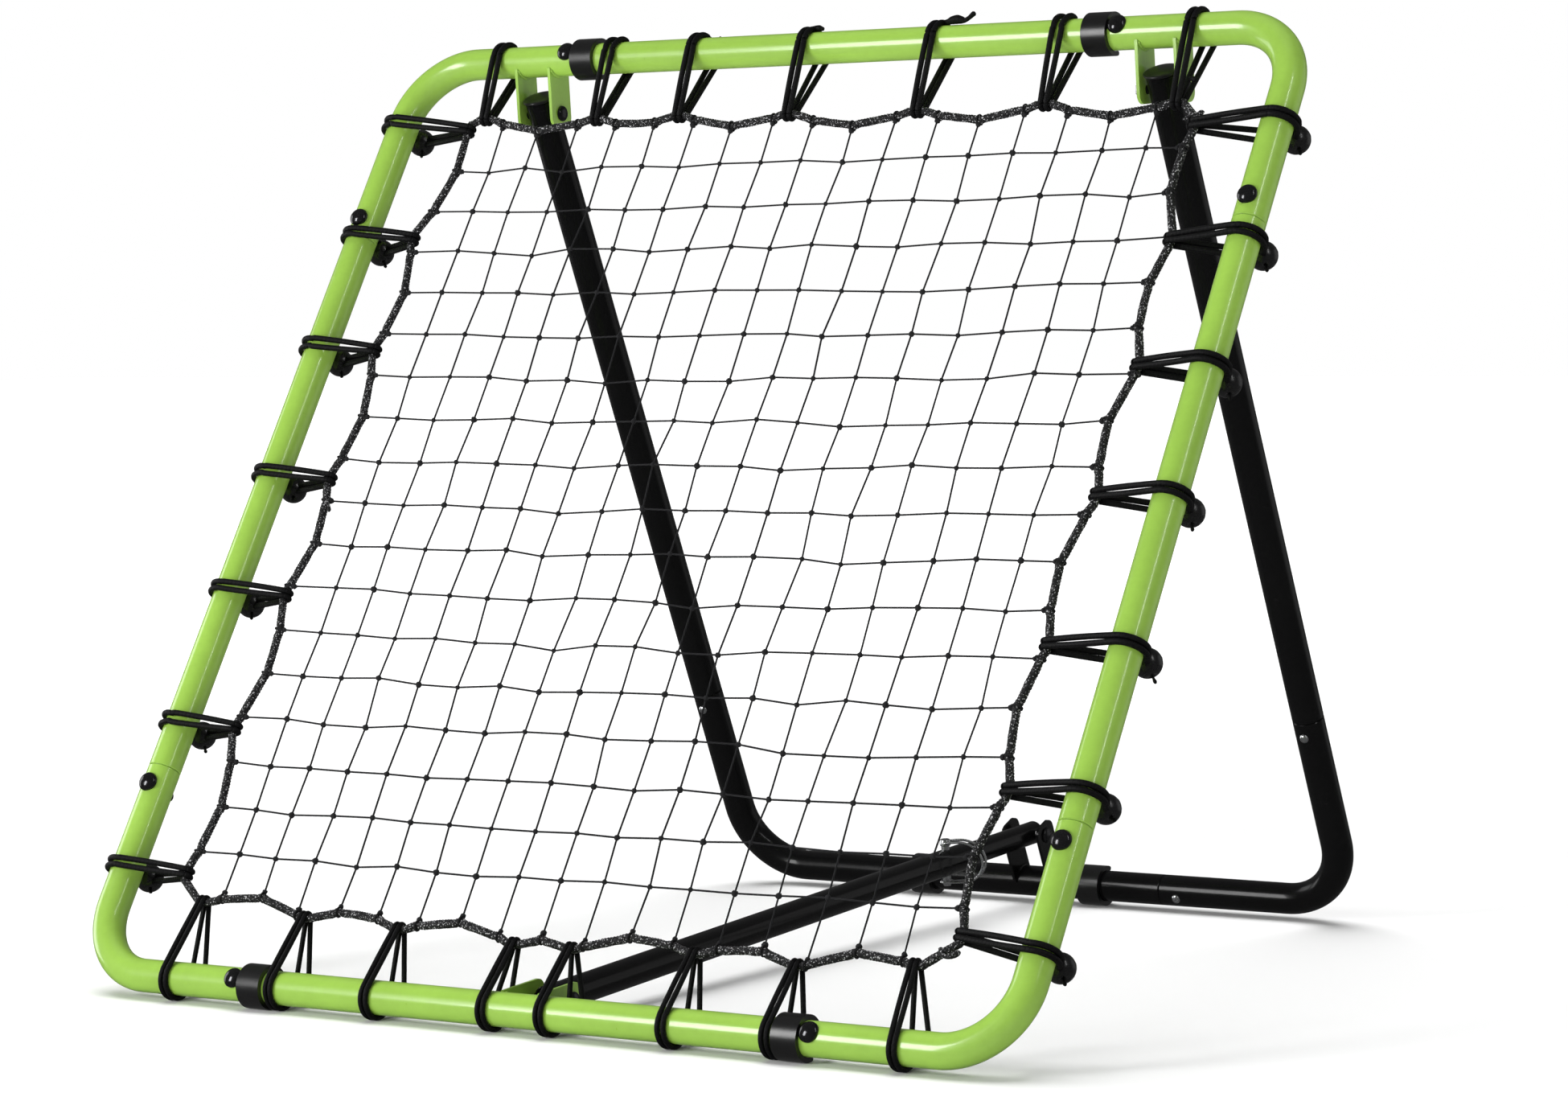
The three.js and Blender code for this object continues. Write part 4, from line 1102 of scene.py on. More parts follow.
def foot_clip(shape, centre):
    """A spring clip round a tube along X: a C open at the back, with rolled lips."""
    inner = TUBE_R + GAP
    middle = (inner + CLIP_R) / 2
    lip = (CLIP_R - inner) / 2
    start, end = CLIP_MOUTH, 2 * pi - CLIP_MOUTH
    outline = arc(CLIP_R, start, end, 56)
    tip = (middle * cos(end), middle * sin(end))
    outline += arc(lip, end, end + pi, 8, tip)[1:-1]
    outline += arc(inner, end, start, 48)
    tip = (middle * cos(start), middle * sin(start))
    outline += arc(lip, start + pi, start + 2 * pi, 8, tip)[1:-1]
    placed = [(centre[1] + y, centre[2] + z) for y, z in outline]
    shape.sheet(placed, [], centre[0] - CLIP_WIDTH / 2, CLIP_WIDTH)


def strut_tube(name, radius, bore, ends, pivot, lock_hole_r, locks):
    """One of the strut's tubes, with a hole for its pivot and those for the lock pin."""
    shape = Shape(STRUT_LINE)
    low, high = ends
    profile = [(radius - LIP, low), (radius, low + LIP), (radius, high - LIP),
               (radius - LIP, high), (bore, high), (bore, low)]
    shape.turned(profile, (0, 0, 0), (0, 1, 0), closed=True)
    tube = shape.made(f"{name}_tube", "black_paint")
    holes = Shape(STRUT_LINE)
    holes.drill(BOLT_HOLE_R, (0, pivot, 0), (1, 0, 0))
    for y in locks:
        holes.drill(lock_hole_r, (0, y, 0), (0, 0, 1))
    tube = drilled(tube, holes.made(f"{name}_holes", "black_paint"))
    return belongs(tube, name, "black_paint", name)


# ---- Bolts -----------------------------------------------------------------------------


def dome(seat):
    """The profile of a low round head on a small flange, seated at a height."""
    profile = [(BOLT_HEAD_R - 0.4, 0), (BOLT_HEAD_R, 0.3), (BOLT_HEAD_R, BOLT_FLANGE)]
    profile += [(BOLT_HEAD_R * cos(a), BOLT_FLANGE + (BOLT_HEAD - BOLT_FLANGE) * sin(a))
                for a in (radians(d) for d in range(10, 90, 8))]
    profile.append((0.1, BOLT_HEAD))
    return [(radius, seat + height) for radius, height in profile]


def hexagon_nut(shape, x_from, x_to, centre):
    """A nut on a bolt that lies along X."""
    corner = NUT_R * NUT_CORNERS
    turns = [radians(60 * k) for k in range(6)]
    outline = [(centre[1] + corner * cos(a), centre[2] + corner * sin(a)) for a in turns]
    hole = arc(BOLT_R - 0.1, 0, 2 * pi, 24, centre[1:])[:-1]
    shape.sheet(outline, [hole], x_from, x_to - x_from)


def through_bolt(name, place, centre):
    """A domed bolt through both plates of a pair, with its nut on the far side."""
    shape = Shape(place)
    end = -BOLT_SEAT - NUT
    shank = [(BOLT_R - 0.8, end - 1.4), (BOLT_R, end - 0.6), (BOLT_R, BOLT_SEAT)]
    shape.turned(shank + dome(BOLT_SEAT), centre, (1, 0, 0), 36)
    hexagon_nut(shape, centre[0] - BOLT_SEAT - NUT, centre[0] - BOLT_SEAT, centre)
    piece = shape.made(f"{name}_dome", "black_bolt", 35)
    return belongs(piece, "frame", "black_paint", name)


# ---- Net, rope and ties ----------------------------------------------------------------


def tie_hold(side, tie):
    """Where a tie holds the rope, in the frame's plane."""
    along, out, _ = SIDES[side]
    place = tie[2] if len(tie) > 2 else tie[0]
    return Vector((along[0] * place + out[0] * tie[1], along[1] * place + out[1] * tie[1]))


def rope_holds():
    """The ends of the rope's straight stretch in each tie, clockwise from the top left."""
    ends = []
    for side, (along, _, travel) in SIDES.items():
        for tie in TIES[side]:
            hold = tie_hold(side, tie)
            step = Vector(along) * (travel * HOLD_HALF)
            ends.append((hold - step, hold + step))
    return ends


def net_places(gaps):
    """Where the net's strings stand across it, the same both ways."""
    return [(i - (gaps - 2) / 2) * NET_WIDTH / gaps for i in range(gaps - 1)]


def rope_path(gaps, steps=24):
    """The rope's line: straight through each hold, and between two bowed inward, where
    every string of the net pulls it to a low peak."""
    holds = rope_holds()
    sides = [side for side in SIDES for _ in TIES[side]]
    path = []
    for i, (before, after) in enumerate(holds):
        following = holds[(i + 1) % len(holds)][0]
        same = sides[i] == sides[(i + 1) % len(holds)]
        bow = SCALLOP * (following - after).length if same else 0.0
        inward = -Vector(SIDES[sides[i]][1])

        def bowed(t):
            # It leaves each hold at an angle, and is rounded at its peak.
            return after.lerp(following, t) + inward * (bow * (1 - abs(2 * t - 1) ** 1.6))

        along = Vector(SIDES[sides[i]][0])
        start, end = after.dot(along), following.dot(along)
        pulls = []
        if same:
            pulls = sorted((place - start) / (end - start) for place in net_places(gaps))
            pulls = [t for t in pulls if 0.04 < t < 0.96]
        knees = [0.0, *pulls, 1.0]
        path.append(before)
        for k in range(steps):
            t = k / steps
            low = max(n for n in knees if n <= t)
            high = min(n for n in knees if n > t)
            straight = bowed(low).lerp(bowed(high), (t - low) / (high - low))
            near = min((abs(t - n) * abs(end - start) for n in pulls), default=99.0)
            peak = inward * (ROPE_PEAK * max(0.0, 1 - near / PEAK_HALF))
            path.append(bowed(t).lerp(straight, 0.6) + peak)
    return path


def rope_reach(path, side, place):
    """How far out the rope lies at a place along one side."""
    along, out, _ = SIDES[side]
    best = 0.0
    for a, b in zip(path, path[1:] + path[:1]):
        start, end = a.dot(Vector(along)), b.dot(Vector(along))
        if abs(end - start) < 1e-6 or not min(start, end) <= place <= max(start, end):
            continue
        t = (place - start) / (end - start)
        best = max(best, a.lerp(b, t).dot(Vector(out)))
    return best


def crossing(x, z):
    """A crossing's place: the net hangs a little and its meshes are not quite square."""
    loose = 1 - min(1.0, (max(abs(x), abs(z)) / NET_EDGE) ** 2)
    wide = noise.noise_vector(Vector((x * 0.011, z * 0.011, 3.1)))
    fine = noise.noise_vector(Vector((x * 0.03, z * 0.03, 8.7)))
    dx = NET_WANDER * wide.x * loose + NET_JITTER * fine.x
    dz = -NET_SAG * loose + NET_WANDER * wide.y * loose + NET_JITTER * fine.y
    return Vector((x + dx, NET_DEPTH * wide.z * loose, z + dz))


def net_lines(gaps):
    """The net's strings, their crossings, and each end with the point before it."""
    path = rope_path(gaps)
    at = net_places(gaps)
    grid = [[crossing(x, z) for z in at] for x in at]
    lines, ends = [], []
    for i, s in enumerate(at):
        for upright in (True, False):
            sides = ("bottom", "top") if upright else ("left", "right")
            reach = (-rope_reach(path, sides[0], s), rope_reach(path, sides[1], s))
            middle = grid[i] if upright else [column[i] for column in grid]
            tips = [Vector((s, 0, e)) if upright else Vector((e, 0, s)) for e in reach]
            line = [tips[0], *middle, tips[1]]
            full = []
            for a, b in zip(line, line[1:]):
                full += [a.lerp(b, t) for t in (0.0, 0.25, 0.5, 0.75)]
            lines.append(full + [line[-1]])
            ends += [(tips[0], line[1]), (tips[1], line[-2])]
    return lines, [p for column in grid for p in column], ends


def rope_turn(tip, inner, rope_r, twine_r):
    """The turn that a string's end takes round the rope, and its hitch's place."""
    inward = (inner - tip).normalized()
    back = Vector((0, 1, 0))
    side = back.cross(inward)
    r = rope_r + twine_r
    turn = [tip + inward * (r * cos(a)) + back * (r * sin(a)) + side * (1.1 * a / pi - 1.1)
            for a in (2 * pi * k / 14 for k in range(15))]
    return turn, tip + inward * (rope_r + 2 * twine_r)


def tie_strands(side, order, shift, cord_r):
    """The two strands of a tie, and the place and axis of its ball."""
    tie = TIES[side][order]
    along, out, _ = SIDES[side]
    hold = tie_hold(side, tie)
    level = side in ("top", "bottom")
    tube = Vector((along[0] * tie[0] + out[0] * HALF, along[1] * tie[0] + out[1] * HALF))
    reach = HALF - tie[1]
    shear = (hold - tube).dot(Vector(along)) / reach
    wrap = TUBE_R + ON_TUBE + cord_r
    catch = ROPE_CATCH + cord_r
    # The level tubes' balls hang straight behind them, and a little low.
    slope = LEAN - BOTTOM_BALL_RISE if side == "bottom" else LEAN
    lift = BALL_BACK[side] * sin(slope) * (-1 if side == "top" else 1) if level else 0.0
    back = BALL_BACK[side] * cos(slope) if level else BALL_BACK[side]
    ball = Vector((lift, back))

    def at(u, v, spread=0.0):
        """A point from how far in and how far behind the tube's axis it lies."""
        drift = max(0.0, u) * shear + spread
        x = tube.x - out[0] * u + along[0] * drift
        z = tube.y - out[1] * u + along[1] * drift
        return Vector((x, v, z))

    move = Vector((along[0] * shift, 0, along[1] * shift))
    ball_at = at(ball.x, ball.y) + move
    # The angles at which it meets and leaves the tube, and leaves the rope.
    lean = acos((wrap - catch) / reach)
    first = atan2(ball.y, ball.x) + acos(wrap / ball.length)
    last = 2 * pi - lean
    to_ball = Vector((ball.x - reach, ball.y))
    off = atan2(to_ball.y, to_ball.x) - acos(catch / to_ball.length)
    turn = arc(wrap, first, last, WRAP_STEPS)
    tube_end = turn[-1]
    rope_end = (reach + catch * cos(-lean), catch * sin(-lean))
    strands = []
    for k in (-1, 1):
        wide = k * cord_r * 1.04
        apart = k * SPLAY[side][order]
        line = [ball_at + (at(0, 0, wide * 0.5) - at(0, 0))]
        for i, (u, v) in enumerate(turn):
            if 0 < i < WRAP_STEPS:
                spread = wide + apart * sin(pi * i / WRAP_STEPS) ** 0.5
            else:
                spread = wide + apart * (i > 0) * 0.8
            line.append(at(u, v, spread) + move * (0.0 if i else 0.06))
        for t in (0.25, 0.5, 0.75):
            u = tube_end[0] + (rope_end[0] - tube_end[0]) * t
            v = tube_end[1] + (rope_end[1] - tube_end[1]) * t
            line.append(at(u, v, wide * (1 + 0.2 * sin(pi * t)) + apart * 0.8 * (1 - t) ** 1.3))
        for i in range(CATCH_STEPS + 1):
            a = -lean + (off + lean) * i / CATCH_STEPS
            line.append(at(reach + catch * cos(a), catch * sin(a), wide))
        # Back from the rope to the ball's neck, a little apart.
        neck = ball_at + (at(0, 0, wide * NECK_SPREAD[side][order]) - at(0, 0))
        start = line[-1]
        line += [start.lerp(neck, t) for t in (0.3, 0.6, 0.85)]
        line += [neck, ball_at.lerp(neck, 0.3)]
        strands.append(line)
    axis = (at(-1, -0.25) - at(0, 0)).normalized()
    return strands, ball_at, axis


def ball_shift(side, tie):
    """How far a ball stands along the tube from its tie."""
    outside = PLATE_INNER + PLATE_THICKNESS + NUT + BALL_R + 2 * GAP
    if side == "bottom" and abs(tie[0]) < outside:
        return (outside if tie[0] > 0 else -outside) - tie[0]
    return SIDE_BALL_SHIFT if side in ("left", "right") else 0.0


# ---- Settings --------------------------------------------------------------------------


class RebounderSizes(bpy.types.PropertyGroup):
    cord_thickness: FloatProperty(
        name="Tie Cord", description="Thickness of one strand of a tie's elastic cord",
        default=0.0054, min=0.001, unit="LENGTH")
    rope_thickness: FloatProperty(
        name="Border Rope", description="Thickness of the rope round the net",
        default=0.0072, min=0.001, unit="LENGTH")
    twine_thickness: FloatProperty(
        name="Net Twine", description="Thickness of the net's strings",
        default=0.0018, min=0.0005, unit="LENGTH")
    knot_width: FloatProperty(
        name="Net Knot", description="Width of a knot where two strings cross",
        default=0.0051, min=0.001, unit="LENGTH")
    net_gaps: IntProperty(
        name="Net Meshes", description="Meshes across the net, each way", default=18, min=2, max=40)
    ball_width: FloatProperty(
        name="Tie Ball", description="Width of the ball behind each tie",
        default=0.026, min=0.005, unit="LENGTH")


class RebounderColours(bpy.types.PropertyGroup):
    lime: FloatVectorProperty(
        name="Frame Coat", description="Powder coat of the net's frame",
        default=(0.31, 0.535, 0.075), size=3, min=0, max=1, subtype="COLOR")
    black: FloatVectorProperty(
        name="Stand Coat", description="Powder coat of the stand, and the black plastic",
        default=(0.004, 0.004, 0.0042), size=3, min=0, max=1, subtype="COLOR")
    cord: FloatVectorProperty(
        name="Cord", description="Net, rope and elastic cord",
        default=(0.003, 0.003, 0.0033), size=3, min=0, max=1, subtype="COLOR")
    zinc: FloatVectorProperty(
        name="Zinc", description="Plated lock pin, bail and stand pins",
        default=(0.68, 0.69, 0.7), size=3, min=0, max=1, subtype="COLOR")


# ---- Operators -------------------------------------------------------------------------


class REBOUNDER_OT_frame_tubes(bpy.types.Operator):
    """Green frame: four bent corners, four straight tubes and the plates on them"""

    bl_idname = "rebounder.frame_tubes"
    bl_label = "Frame Tubes"

    def execute(self, context):
        for side_z, height in ((1, "top"), (-1, "bottom")):
            for side_x, side in ((-1, "left"), (1, "right")):
                node = f"frame_corner_{height}_{side}"
                piece = frame_corner(side_x, side_z).made(f"{node}_tube", "lime_paint")
                belongs(piece, "frame", "lime_paint", node)
        half = HALF - CORNER_ARM - GAP / 2
        places = {
            "top": ((0, 0, HALF), (1, 0, 0)),
            "bottom": ((0, 0, -HALF), (1, 0, 0)),
            "left": ((-HALF, 0, 0), (0, 0, 1)),
            "right": ((HALF, 0, 0), (0, 0, 1)),
        }
        for side, (centre, direction) in places.items():
            shape = Shape(FRAME_PLANE)
            straight_shell(shape, -half, half, direction, centre=centre)
            if side == "bottom":
                plate_pair(shape, STRUT_REACH, pi / 2 + PLATE_ANGLE, centre)
            node = f"frame_rail_{side}"
            belongs(shape.made(f"{node}_tube", "lime_paint"), "frame", "lime_paint", node)
        return {"FINISHED"}


class REBOUNDER_OT_clips(bpy.types.Operator):
    """Black spring clips on the frame and under the stand"""

    bl_idname = "rebounder.clips"
    bl_label = "Clips"

    def execute(self, context):
        clips = [(f"clip_{height}_{side}", "frame", FRAME_PLANE, (x * CLIP_X, 0, z * HALF))
                 for z, height in ((1, "top"), (-1, "bottom"))
                 for x, side in ((-1, "left"), (1, "right"))]
        clips += [(f"stand_clip_{side}", "stand", STAND_PLANE, (x, 0, -LEG_LENGTH))
                  for side, x in STAND_CLIPS.items()]
        for node, body, place, centre in clips:
            shape = Shape(place)
            foot_clip(shape, centre)
            piece = shape.made(f"{node}_band", "black_plastic", CLIP_EDGE, CLIP_BEVEL)
            belongs(piece, body, "black_plastic", node)
        return {"FINISHED"}


class REBOUNDER_OT_stand(bpy.types.Operator):
    """Black stand: two legs with end caps, two bent corners and the cross tube"""

    bl_idname = "rebounder.stand"
    bl_label = "Stand"

    def execute(self, context):
        for side_x, side in ((-1, "left"), (1, "right")):
            self.leg(side_x * LEG_X, side)
            self.corner(side_x, side)
            self.cap(side_x * LEG_X, side)
        self.cross_tube()
        return {"FINISHED"}

    def leg(self, x, side):
        foot = -(LEG_LENGTH - CORNER_ARM) + GAP / 2
        shape = Shape(STAND_PLANE)
        straight_shell(shape, foot, LEG_TOP, (0, 0, 1), (True, False), (x, 0, 0))
        leg = shape.made(f"stand_leg_{side}_tube", "black_paint")
        hole = Shape(STAND_PLANE)
        hole.drill(BOLT_HOLE_R, (x, 0, 0), (1, 0, 0), 2 * TUBE_R)
        leg = drilled(leg, hole.made("leg_hole", "black_paint"))
        belongs(leg, "stand", "black_paint", f"stand_leg_{side}")

    def corner(self, side_x, side):
        shape = Shape(STAND_PLANE)
        corner_shell(shape, lambda p: Vector((side_x * (LEG_X - p.x), p.y, p.z - LEG_LENGTH)))
        bend = shape.made(f"stand_corner_{side}_tube", "black_paint")
        belongs(bend, "stand", "black_paint", f"stand_corner_{side}")

    def cap(self, x, side):
        rim = LEG_TOP + GAP
        flange = TUBE_R + CAP_OVERHANG
        profile = [(SPIGOT_R - 1, rim - 9), (SPIGOT_R, rim - 8), (SPIGOT_R, rim),
                   (flange - 0.4, rim), (flange, rim + 0.5), (flange, rim + CAP_RIM)]
        profile += [(flange * cos(a), rim + CAP_RIM + CAP_CROWN * sin(a))
                    for a in (radians(d) for d in range(5, 90, 9))]
        shape = Shape(STAND_PLANE)
        shape.turned(profile, (x, 0, 0), (0, 0, 1))
        cap = shape.made(f"leg_cap_{side}_plug", "black_plastic")
        belongs(cap, "stand", "black_plastic", f"leg_cap_{side}")

    def cross_tube(self):
        shape = Shape(STAND_PLANE)
        half = LEG_X - CORNER_ARM - GAP / 2
        centre = (0, 0, -LEG_LENGTH)
        straight_shell(shape, -half, half, (1, 0, 0), centre=centre)
        plate_pair(shape, BRACKET_DROP, pi, centre)
        # The rear pivot bolt's nut and the end of its shank are on the far plate.
        pivot = (0, 0, BRACKET_DROP - LEG_LENGTH)
        seat = PLATE_INNER + PLATE_THICKNESS
        hexagon_nut(shape, -seat - NUT, -seat + 0.2, pivot)
        shank = [(BOLT_R, -seat - NUT - 1), (BOLT_R, -PLATE_INNER - 0.2)]
        shape.turned(shank, pivot, (1, 0, 0), 24)
        piece = shape.made("stand_cross_tube_bracket", "black_paint")
        belongs(piece, "stand", "black_paint", "stand_cross_tube")


class REBOUNDER_OT_bolts(bpy.types.Operator):
    """Pivot bolts, the domed bolts at the frame's seams and the stand's plated pins"""

    bl_idname = "rebounder.bolts"
    bl_label = "Bolts and Pins"

    def execute(self, context):
        hinge = (HINGE_DROP * sin(PLATE_ANGLE), HALF - HINGE_DROP * cos(PLATE_ANGLE))
        for side_x, side in ((-1, "left"), (1, "right")):
            through_bolt(f"hinge_bolt_{side}", FRAME_PLANE, (side_x * LEG_X, *hinge))
        front = (0, STRUT_REACH * cos(PLATE_ANGLE), -HALF + STRUT_REACH * sin(PLATE_ANGLE))
        through_bolt("strut_pivot_bolt_front", FRAME_PLANE, front)

        # The rear bolt goes through the near plate only, so that the strut can leave it.
        pivot = (0, 0, BRACKET_DROP - LEG_LENGTH)
        shape = Shape(STAND_PLANE)
        shank = [(BOLT_R, PLATE_INNER - 0.5), (BOLT_R, BOLT_SEAT)]
        shape.turned(shank + dome(BOLT_SEAT), pivot, (1, 0, 0), 36)
        piece = shape.made("strut_pivot_bolt_rear_dome", "black_bolt", 35)
        belongs(piece, "stand", "black_paint", "strut_pivot_bolt_rear")

        seams = [(x, z) for z in (-HALF, HALF) for x in (-SEAM_BOLTS, SEAM_BOLTS)]
        seams += [(x, z) for x in (-HALF, HALF) for z in (-SIDE_BOLTS, SIDE_BOLTS)]
        pins = [(x, -LEG_PIN) for x in (-LEG_X, LEG_X)]
        pins += [(x, -LEG_LENGTH) for x in (-CROSS_PIN_X, CROSS_PIN_X)]
        # Each row: its piece, places, plane and body, front or back, finish, slot and sizes.
        rows = (
            ("seam_bolt_heads", seams, FRAME_PLANE, "frame", -1,
             "black_bolt", "black_paint", SEAM_HEAD),
            ("seam_bolt_nuts", seams, FRAME_PLANE, "frame", 1,
             "black_bolt", "black_paint", SEAM_NUT),
            ("stand_snap_pins", pins, STAND_PLANE, "stand", -1,
             "zinc_steel", "zinc_steel", SNAP_PIN),
        )
        for name, places, plane_of, body, face, finish, slot, sizes in rows:
            points = [(x, face * TUBE_R, z) for x, z in places]
            axes = [(0, face, 0)] * len(points)
            heads = studded(name, head_tree(), points, plane_of, axes, finish, **sizes)
            belongs(heads, body, slot)
        return {"FINISHED"}


class REBOUNDER_OT_strut(bpy.types.Operator):
    """Telescoping strut: outer tube, and inner tube with its row of lock holes"""

    bl_idname = "rebounder.strut"
    bl_label = "Strut"

    def execute(self, context):
        ends = (-STRUT_END, OUTER_LENGTH)
        strut_tube("strut_outer", OUTER_R, OUTER_BORE_R, ends, 0, PIN_R + 0.6, [LOCK_AT])
        ends = (LOCK_AT - TRAVEL - PAST_HOLES, STRUT_LENGTH + STRUT_END)
        locks = [LOCK_AT - TRAVEL * i / (LOCK_HOLES - 1) for i in range(LOCK_HOLES)]
        strut_tube("strut_inner", INNER_R, INNER_BORE_R, ends, STRUT_LENGTH, PIN_R + 0.5, locks)
        return {"FINISHED"}


class REBOUNDER_OT_lock(bpy.types.Operator):
    """Lock pin through the strut, and the doubled wire bail that holds it"""

    bl_idname = "rebounder.lock"
    bl_label = "Lock Pin and Bail"

    def execute(self, context):
        seat = PIN_HALF - PIN_HEAD
        cap = PIN_HEAD_R
        shape = Shape(STRUT_LINE)
        profile = [(1.2, -PIN_HALF), (PIN_R - 1, -PIN_HALF + 0.3), (PIN_R, -PIN_HALF + 1.8),
                   (PIN_R, seat), (cap - 0.6, seat), (cap, seat + 0.6), (cap, PIN_HALF - 1.2),
                   (cap - 0.5, PIN_HALF - 0.4), (cap - 1.4, PIN_HALF), (0.1, PIN_HALF)]
        shape.turned(profile, (0, LOCK_AT, 0), (0, 0, 1), 40)
        pin = shape.made("lock_pin_turned", "zinc_steel", 35)
        belongs(pin, "lock_pin", "zinc_steel", "lock_pin")

        # The wire's ends go into the head, and its bend catches the pin under the tube.
        head = PIN_HALF - PIN_HEAD / 2
        tip = -PIN_HALF + 4.5
        s = BAIL_SPREAD
        half = [(0, cap - 2.2, head), (0.5, s - 0.4, head), (3, s + 0.5, head),
                (9, s + 0.4, head + 0.8), (18, s, head + 0.6), (27, s, head - 2.4),
                (34, s, head - 8.5), (BAIL_OUT - 0.6, s, 3), (BAIL_OUT - 1.2, s, -5),
                (32, s, -12.5), (24, s - 0.3, tip + 1.2), (12, s - 1, tip + 0.2),
                (3, s - 1.6, tip)]
        bend = [(-3.6, 4.4, tip), (-5.6, 0, tip), (-3.6, -4.4, tip)]
        stations = half + bend + [(x, -y, z) for x, y, z in reversed(half)]
        swing = Matrix.Rotation(BAIL_SWING, 4, "Z")
        stations = [tuple(swing @ Vector(p)) for p in stations]
        line = [(x, LOCK_AT + y, z) for x, y, z in smoothed(stations, 5)]
        bail = corded("lock_bail_wire", [line], STRUT_LINE, WIRE_R * MM, 12, "zinc_steel")
        belongs(bail, "lock_bail", "zinc_steel", "lock_bail")
        return {"FINISHED"}


class REBOUNDER_OT_net(bpy.types.Operator):
    """Knotted net, tied to the border rope at the end of every string"""

    bl_idname = "rebounder.net"
    bl_label = "Net"

    def execute(self, context):
        sizes = context.scene.rebounder_sizes
        lines, crossings, ends = net_lines(sizes.net_gaps)
        hitches = []
        for tip, inner in ends:
            turn, hitch = rope_turn(tip, inner, half_in_mm(sizes.rope_thickness),
                                    half_in_mm(sizes.twine_thickness))
            lines.append(turn)
            hitches.append(hitch)
        strings = corded("net_strings", lines, FRAME_PLANE, sizes.twine_thickness / 2, 6,
                         "net_twine")
        belongs(strings, "frame", "net_twine", "net")
        knots = studded("net_knots", knot_tree(), crossings + hitches, FRAME_PLANE, None,
                        "net_twine", Width=sizes.knot_width, Seed=3)
        belongs(knots, "frame", "net_twine")
        return {"FINISHED"}


class REBOUNDER_OT_border_rope(bpy.types.Operator):
    """Braided rope round the net, in scallops from tie to tie"""

    bl_idname = "rebounder.border_rope"
    bl_label = "Border Rope"

    def execute(self, context):
        sizes = context.scene.rebounder_sizes
        line = [(p.x, 0, p.y) for p in rope_path(sizes.net_gaps)]
        whole = evenly(smoothed(line, 2, True), ROPE_STEP)
        radius = sizes.rope_thickness / 2 - ROPE_BRAID / 2
        rope = corded("border_rope", [whole], FRAME_PLANE, radius, 18, "braided_rope", closed=True,
                      Lumps=0.3, Braid=ROPE_BRAID)
        belongs(rope, "frame", "braided_rope", "net_border_rope")
        lines, girths = loose_ends(ROPE_TAILS)
        tails = corded("border_rope_tails", lines, FRAME_PLANE, MM, 10, "braided_rope",
                       girths=girths)
        belongs(tails, "frame", "braided_rope")
        return {"FINISHED"}


class REBOUNDER_OT_ties(bpy.types.Operator):
    """Elastic ball ties that lace the net's rope to the frame"""

    bl_idname = "rebounder.ties"
    bl_label = "Ball Ties"

    def execute(self, context):
        sizes = context.scene.rebounder_sizes
        thick = half_in_mm(sizes.cord_thickness)
        ball_r = half_in_mm(sizes.ball_width)
        strands, girths, balls, axes, nodes = [], [], [], [], []
        for side, ties in TIES.items():
            cord_r = min(thick, UNDER_CORD / 2) if side == "bottom" else thick
            for i, tie in enumerate(ties):
                pair, ball, axis = tie_strands(side, i, ball_shift(side, tie), cord_r)
                strands += [smoothed(line, 2) for line in pair]
                girths += [[cord_r / thick] * len(line) for line in strands[-2:]]
                balls.append(ball)
                nodes.append(f"tie_{side}_{i + 1}")
                # The cord's knotted end stands out of the ball's far side.
                turn = noise.noise_vector(Vector((len(balls) * 1.7, 4.0, 2.0)))
                hanging = Vector((0.45, 0.1, -0.8)) if side in ("left", "right") else axis
                out = (hanging + turn * 0.4).normalized()
                axes.append(out)
                strands.append([ball + out * (ball_r * 0.75 + k * 0.95) + turn * (0.05 * k * k)
                                for k in range(len(NUB))])
                girths.append([g * NUB_GIRTH / thick for g in NUB])
        lines, radii = loose_ends(CORD_TAILS)
        strands += lines
        girths += [[r / thick for r in tail] for tail in radii]
        cords = corded("tie_cords", strands, FRAME_PLANE, sizes.cord_thickness / 2, 12,
                       "elastic_cord", girths=girths)
        belongs(cords, "frame", "elastic_cord", *nodes)
        beads = studded("tie_balls", ball_tree(), balls, FRAME_PLANE, axes, "tie_ball",
                        Radius=sizes.ball_width / 2, Hole=0.0045)
        belongs(beads, "frame", "elastic_cord")
        return {"FINISHED"}


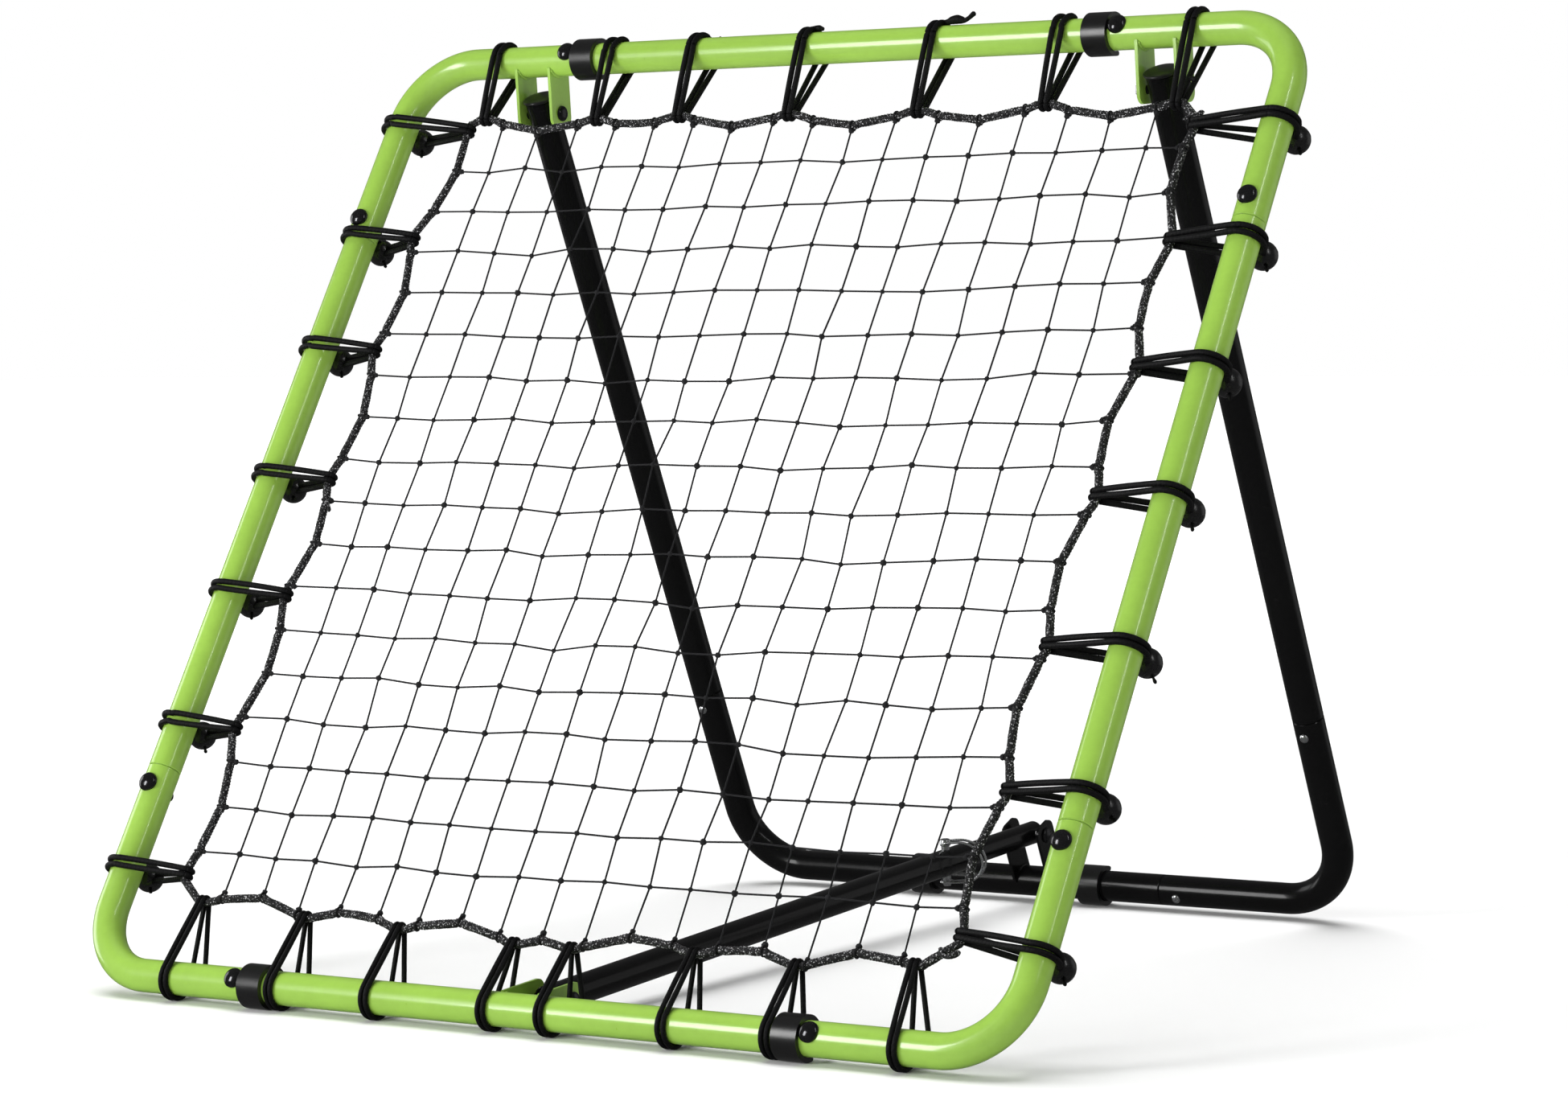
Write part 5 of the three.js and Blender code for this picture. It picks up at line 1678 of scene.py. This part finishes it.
class REBOUNDER_OT_stage(bpy.types.Operator):
    """Pale floor, soft lights and the camera"""

    bl_idname = "rebounder.stage"
    bl_label = "Stage"

    def execute(self, context):
        mesh = bpy.data.meshes.new("studio_floor")
        reach = FLOOR_REACH
        corners = [(-reach, -reach, 0), (reach, -reach, 0), (reach, reach, 0), (-reach, reach, 0)]
        mesh.from_pydata(corners, [], [(0, 1, 2, 3)])
        mesh.materials.append(material("studio_floor"))
        floor = bpy.data.objects.new("studio_floor", mesh)
        context.scene.collection.objects.link(floor)
        floor.visible_glossy = False

        # The backdrop is white to the eye, and dim in the tubes' reflections.
        world = bpy.data.worlds.new("studio")
        world.use_nodes = True
        sky = NodeTree(world.node_tree)
        seen = sky.node("ShaderNodeLightPath")["Is Camera Ray"]
        backdrop = world.node_tree.nodes["Background"]
        backdrop.inputs["Color"].default_value = (1.0, 1.0, 1.0, 1.0)
        strength = seen * (BACKDROP_SEEN - BACKDROP_GLOW) + BACKDROP_GLOW
        sky.fill(backdrop.inputs["Strength"], strength)
        context.scene.world = world
        context.scene.view_settings.view_transform = "Standard"

        overhead = bpy.data.lights.new("overhead", "SUN")
        overhead.energy = SUN_ENERGY
        overhead.angle = SUN_ANGLE
        lamp = bpy.data.objects.new("overhead", overhead)
        lamp.rotation_euler = SUN_TURN
        lamp.visible_glossy = False
        context.scene.collection.objects.link(lamp)
        for name, (place, facing, (width, height), power) in SOFT_BOXES.items():
            data = bpy.data.lights.new(name, "AREA")
            data.shape = "RECTANGLE"
            data.size = width
            data.size_y = height
            data.energy = power
            lamp = bpy.data.objects.new(name, data)
            lamp.location = place
            aim = Vector(facing) - Vector(place)
            lamp.rotation_euler = aim.to_track_quat("-Z", "Y").to_euler()
            # The fill light isn't mirrored in the coats, and the cards do nothing else:
            # they stand behind the tubes, to whiten their edges.
            lamp.visible_glossy = name != "fill"
            lamp.visible_diffuse = not name.endswith("card")
            context.scene.collection.objects.link(lamp)

        lens = bpy.data.cameras.new("photo_view")
        lens.lens = CAMERA_LENS
        lens.sensor_width = CAMERA_SENSOR
        lens.sensor_fit = "HORIZONTAL"
        lens.clip_end = CAMERA_CLIP
        camera = bpy.data.objects.new("photo_view", lens)
        back = Vector(CAMERA_BACK).normalized()
        right = Vector(CAMERA_RIGHT)
        right = (right - back * right.dot(back)).normalized()
        turn = Matrix((right, back.cross(right), back)).transposed().to_4x4()
        camera.matrix_world = Matrix.Translation(CAMERA_PLACE) @ turn
        context.scene.collection.objects.link(camera)
        context.scene.camera = camera
        return {"FINISHED"}


OPERATORS = (
    REBOUNDER_OT_frame_tubes,
    REBOUNDER_OT_clips,
    REBOUNDER_OT_stand,
    REBOUNDER_OT_bolts,
    REBOUNDER_OT_strut,
    REBOUNDER_OT_lock,
    REBOUNDER_OT_net,
    REBOUNDER_OT_border_rope,
    REBOUNDER_OT_ties,
    REBOUNDER_OT_stage,
)


class REBOUNDER_PT_panel(bpy.types.Panel):
    """Sizes, colours and pieces of the rebounder"""

    bl_idname = "REBOUNDER_PT_panel"
    bl_label = "Pitch Back Rebounder"
    bl_space_type = "VIEW_3D"
    bl_region_type = "UI"
    bl_category = "Rebounder"

    def draw(self, context):
        for group in (context.scene.rebounder_sizes, context.scene.rebounder_colours):
            box = self.layout.box()
            for name in group.__annotations__:
                box.prop(group, name)
        for operator in OPERATORS:
            self.layout.operator(operator.bl_idname)


CLASSES = (RebounderSizes, RebounderColours, *OPERATORS, REBOUNDER_PT_panel)


def register():
    for cls in CLASSES:
        bpy.utils.register_class(cls)
    bpy.types.Scene.rebounder_sizes = PointerProperty(type=RebounderSizes)
    bpy.types.Scene.rebounder_colours = PointerProperty(type=RebounderColours)


def unregister():
    del bpy.types.Scene.rebounder_colours
    del bpy.types.Scene.rebounder_sizes
    for cls in reversed(CLASSES):
        bpy.utils.unregister_class(cls)


def main():
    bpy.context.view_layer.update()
    register()
    bpy.ops.rebounder.frame_tubes()
    bpy.ops.rebounder.clips()
    bpy.ops.rebounder.stand()
    bpy.ops.rebounder.bolts()
    bpy.ops.rebounder.strut()
    bpy.ops.rebounder.lock()
    bpy.ops.rebounder.net()
    bpy.ops.rebounder.border_rope()
    bpy.ops.rebounder.ties()
    bpy.ops.rebounder.stage()
    bpy.context.view_layer.update()


if __name__ == "__main__":
    main()
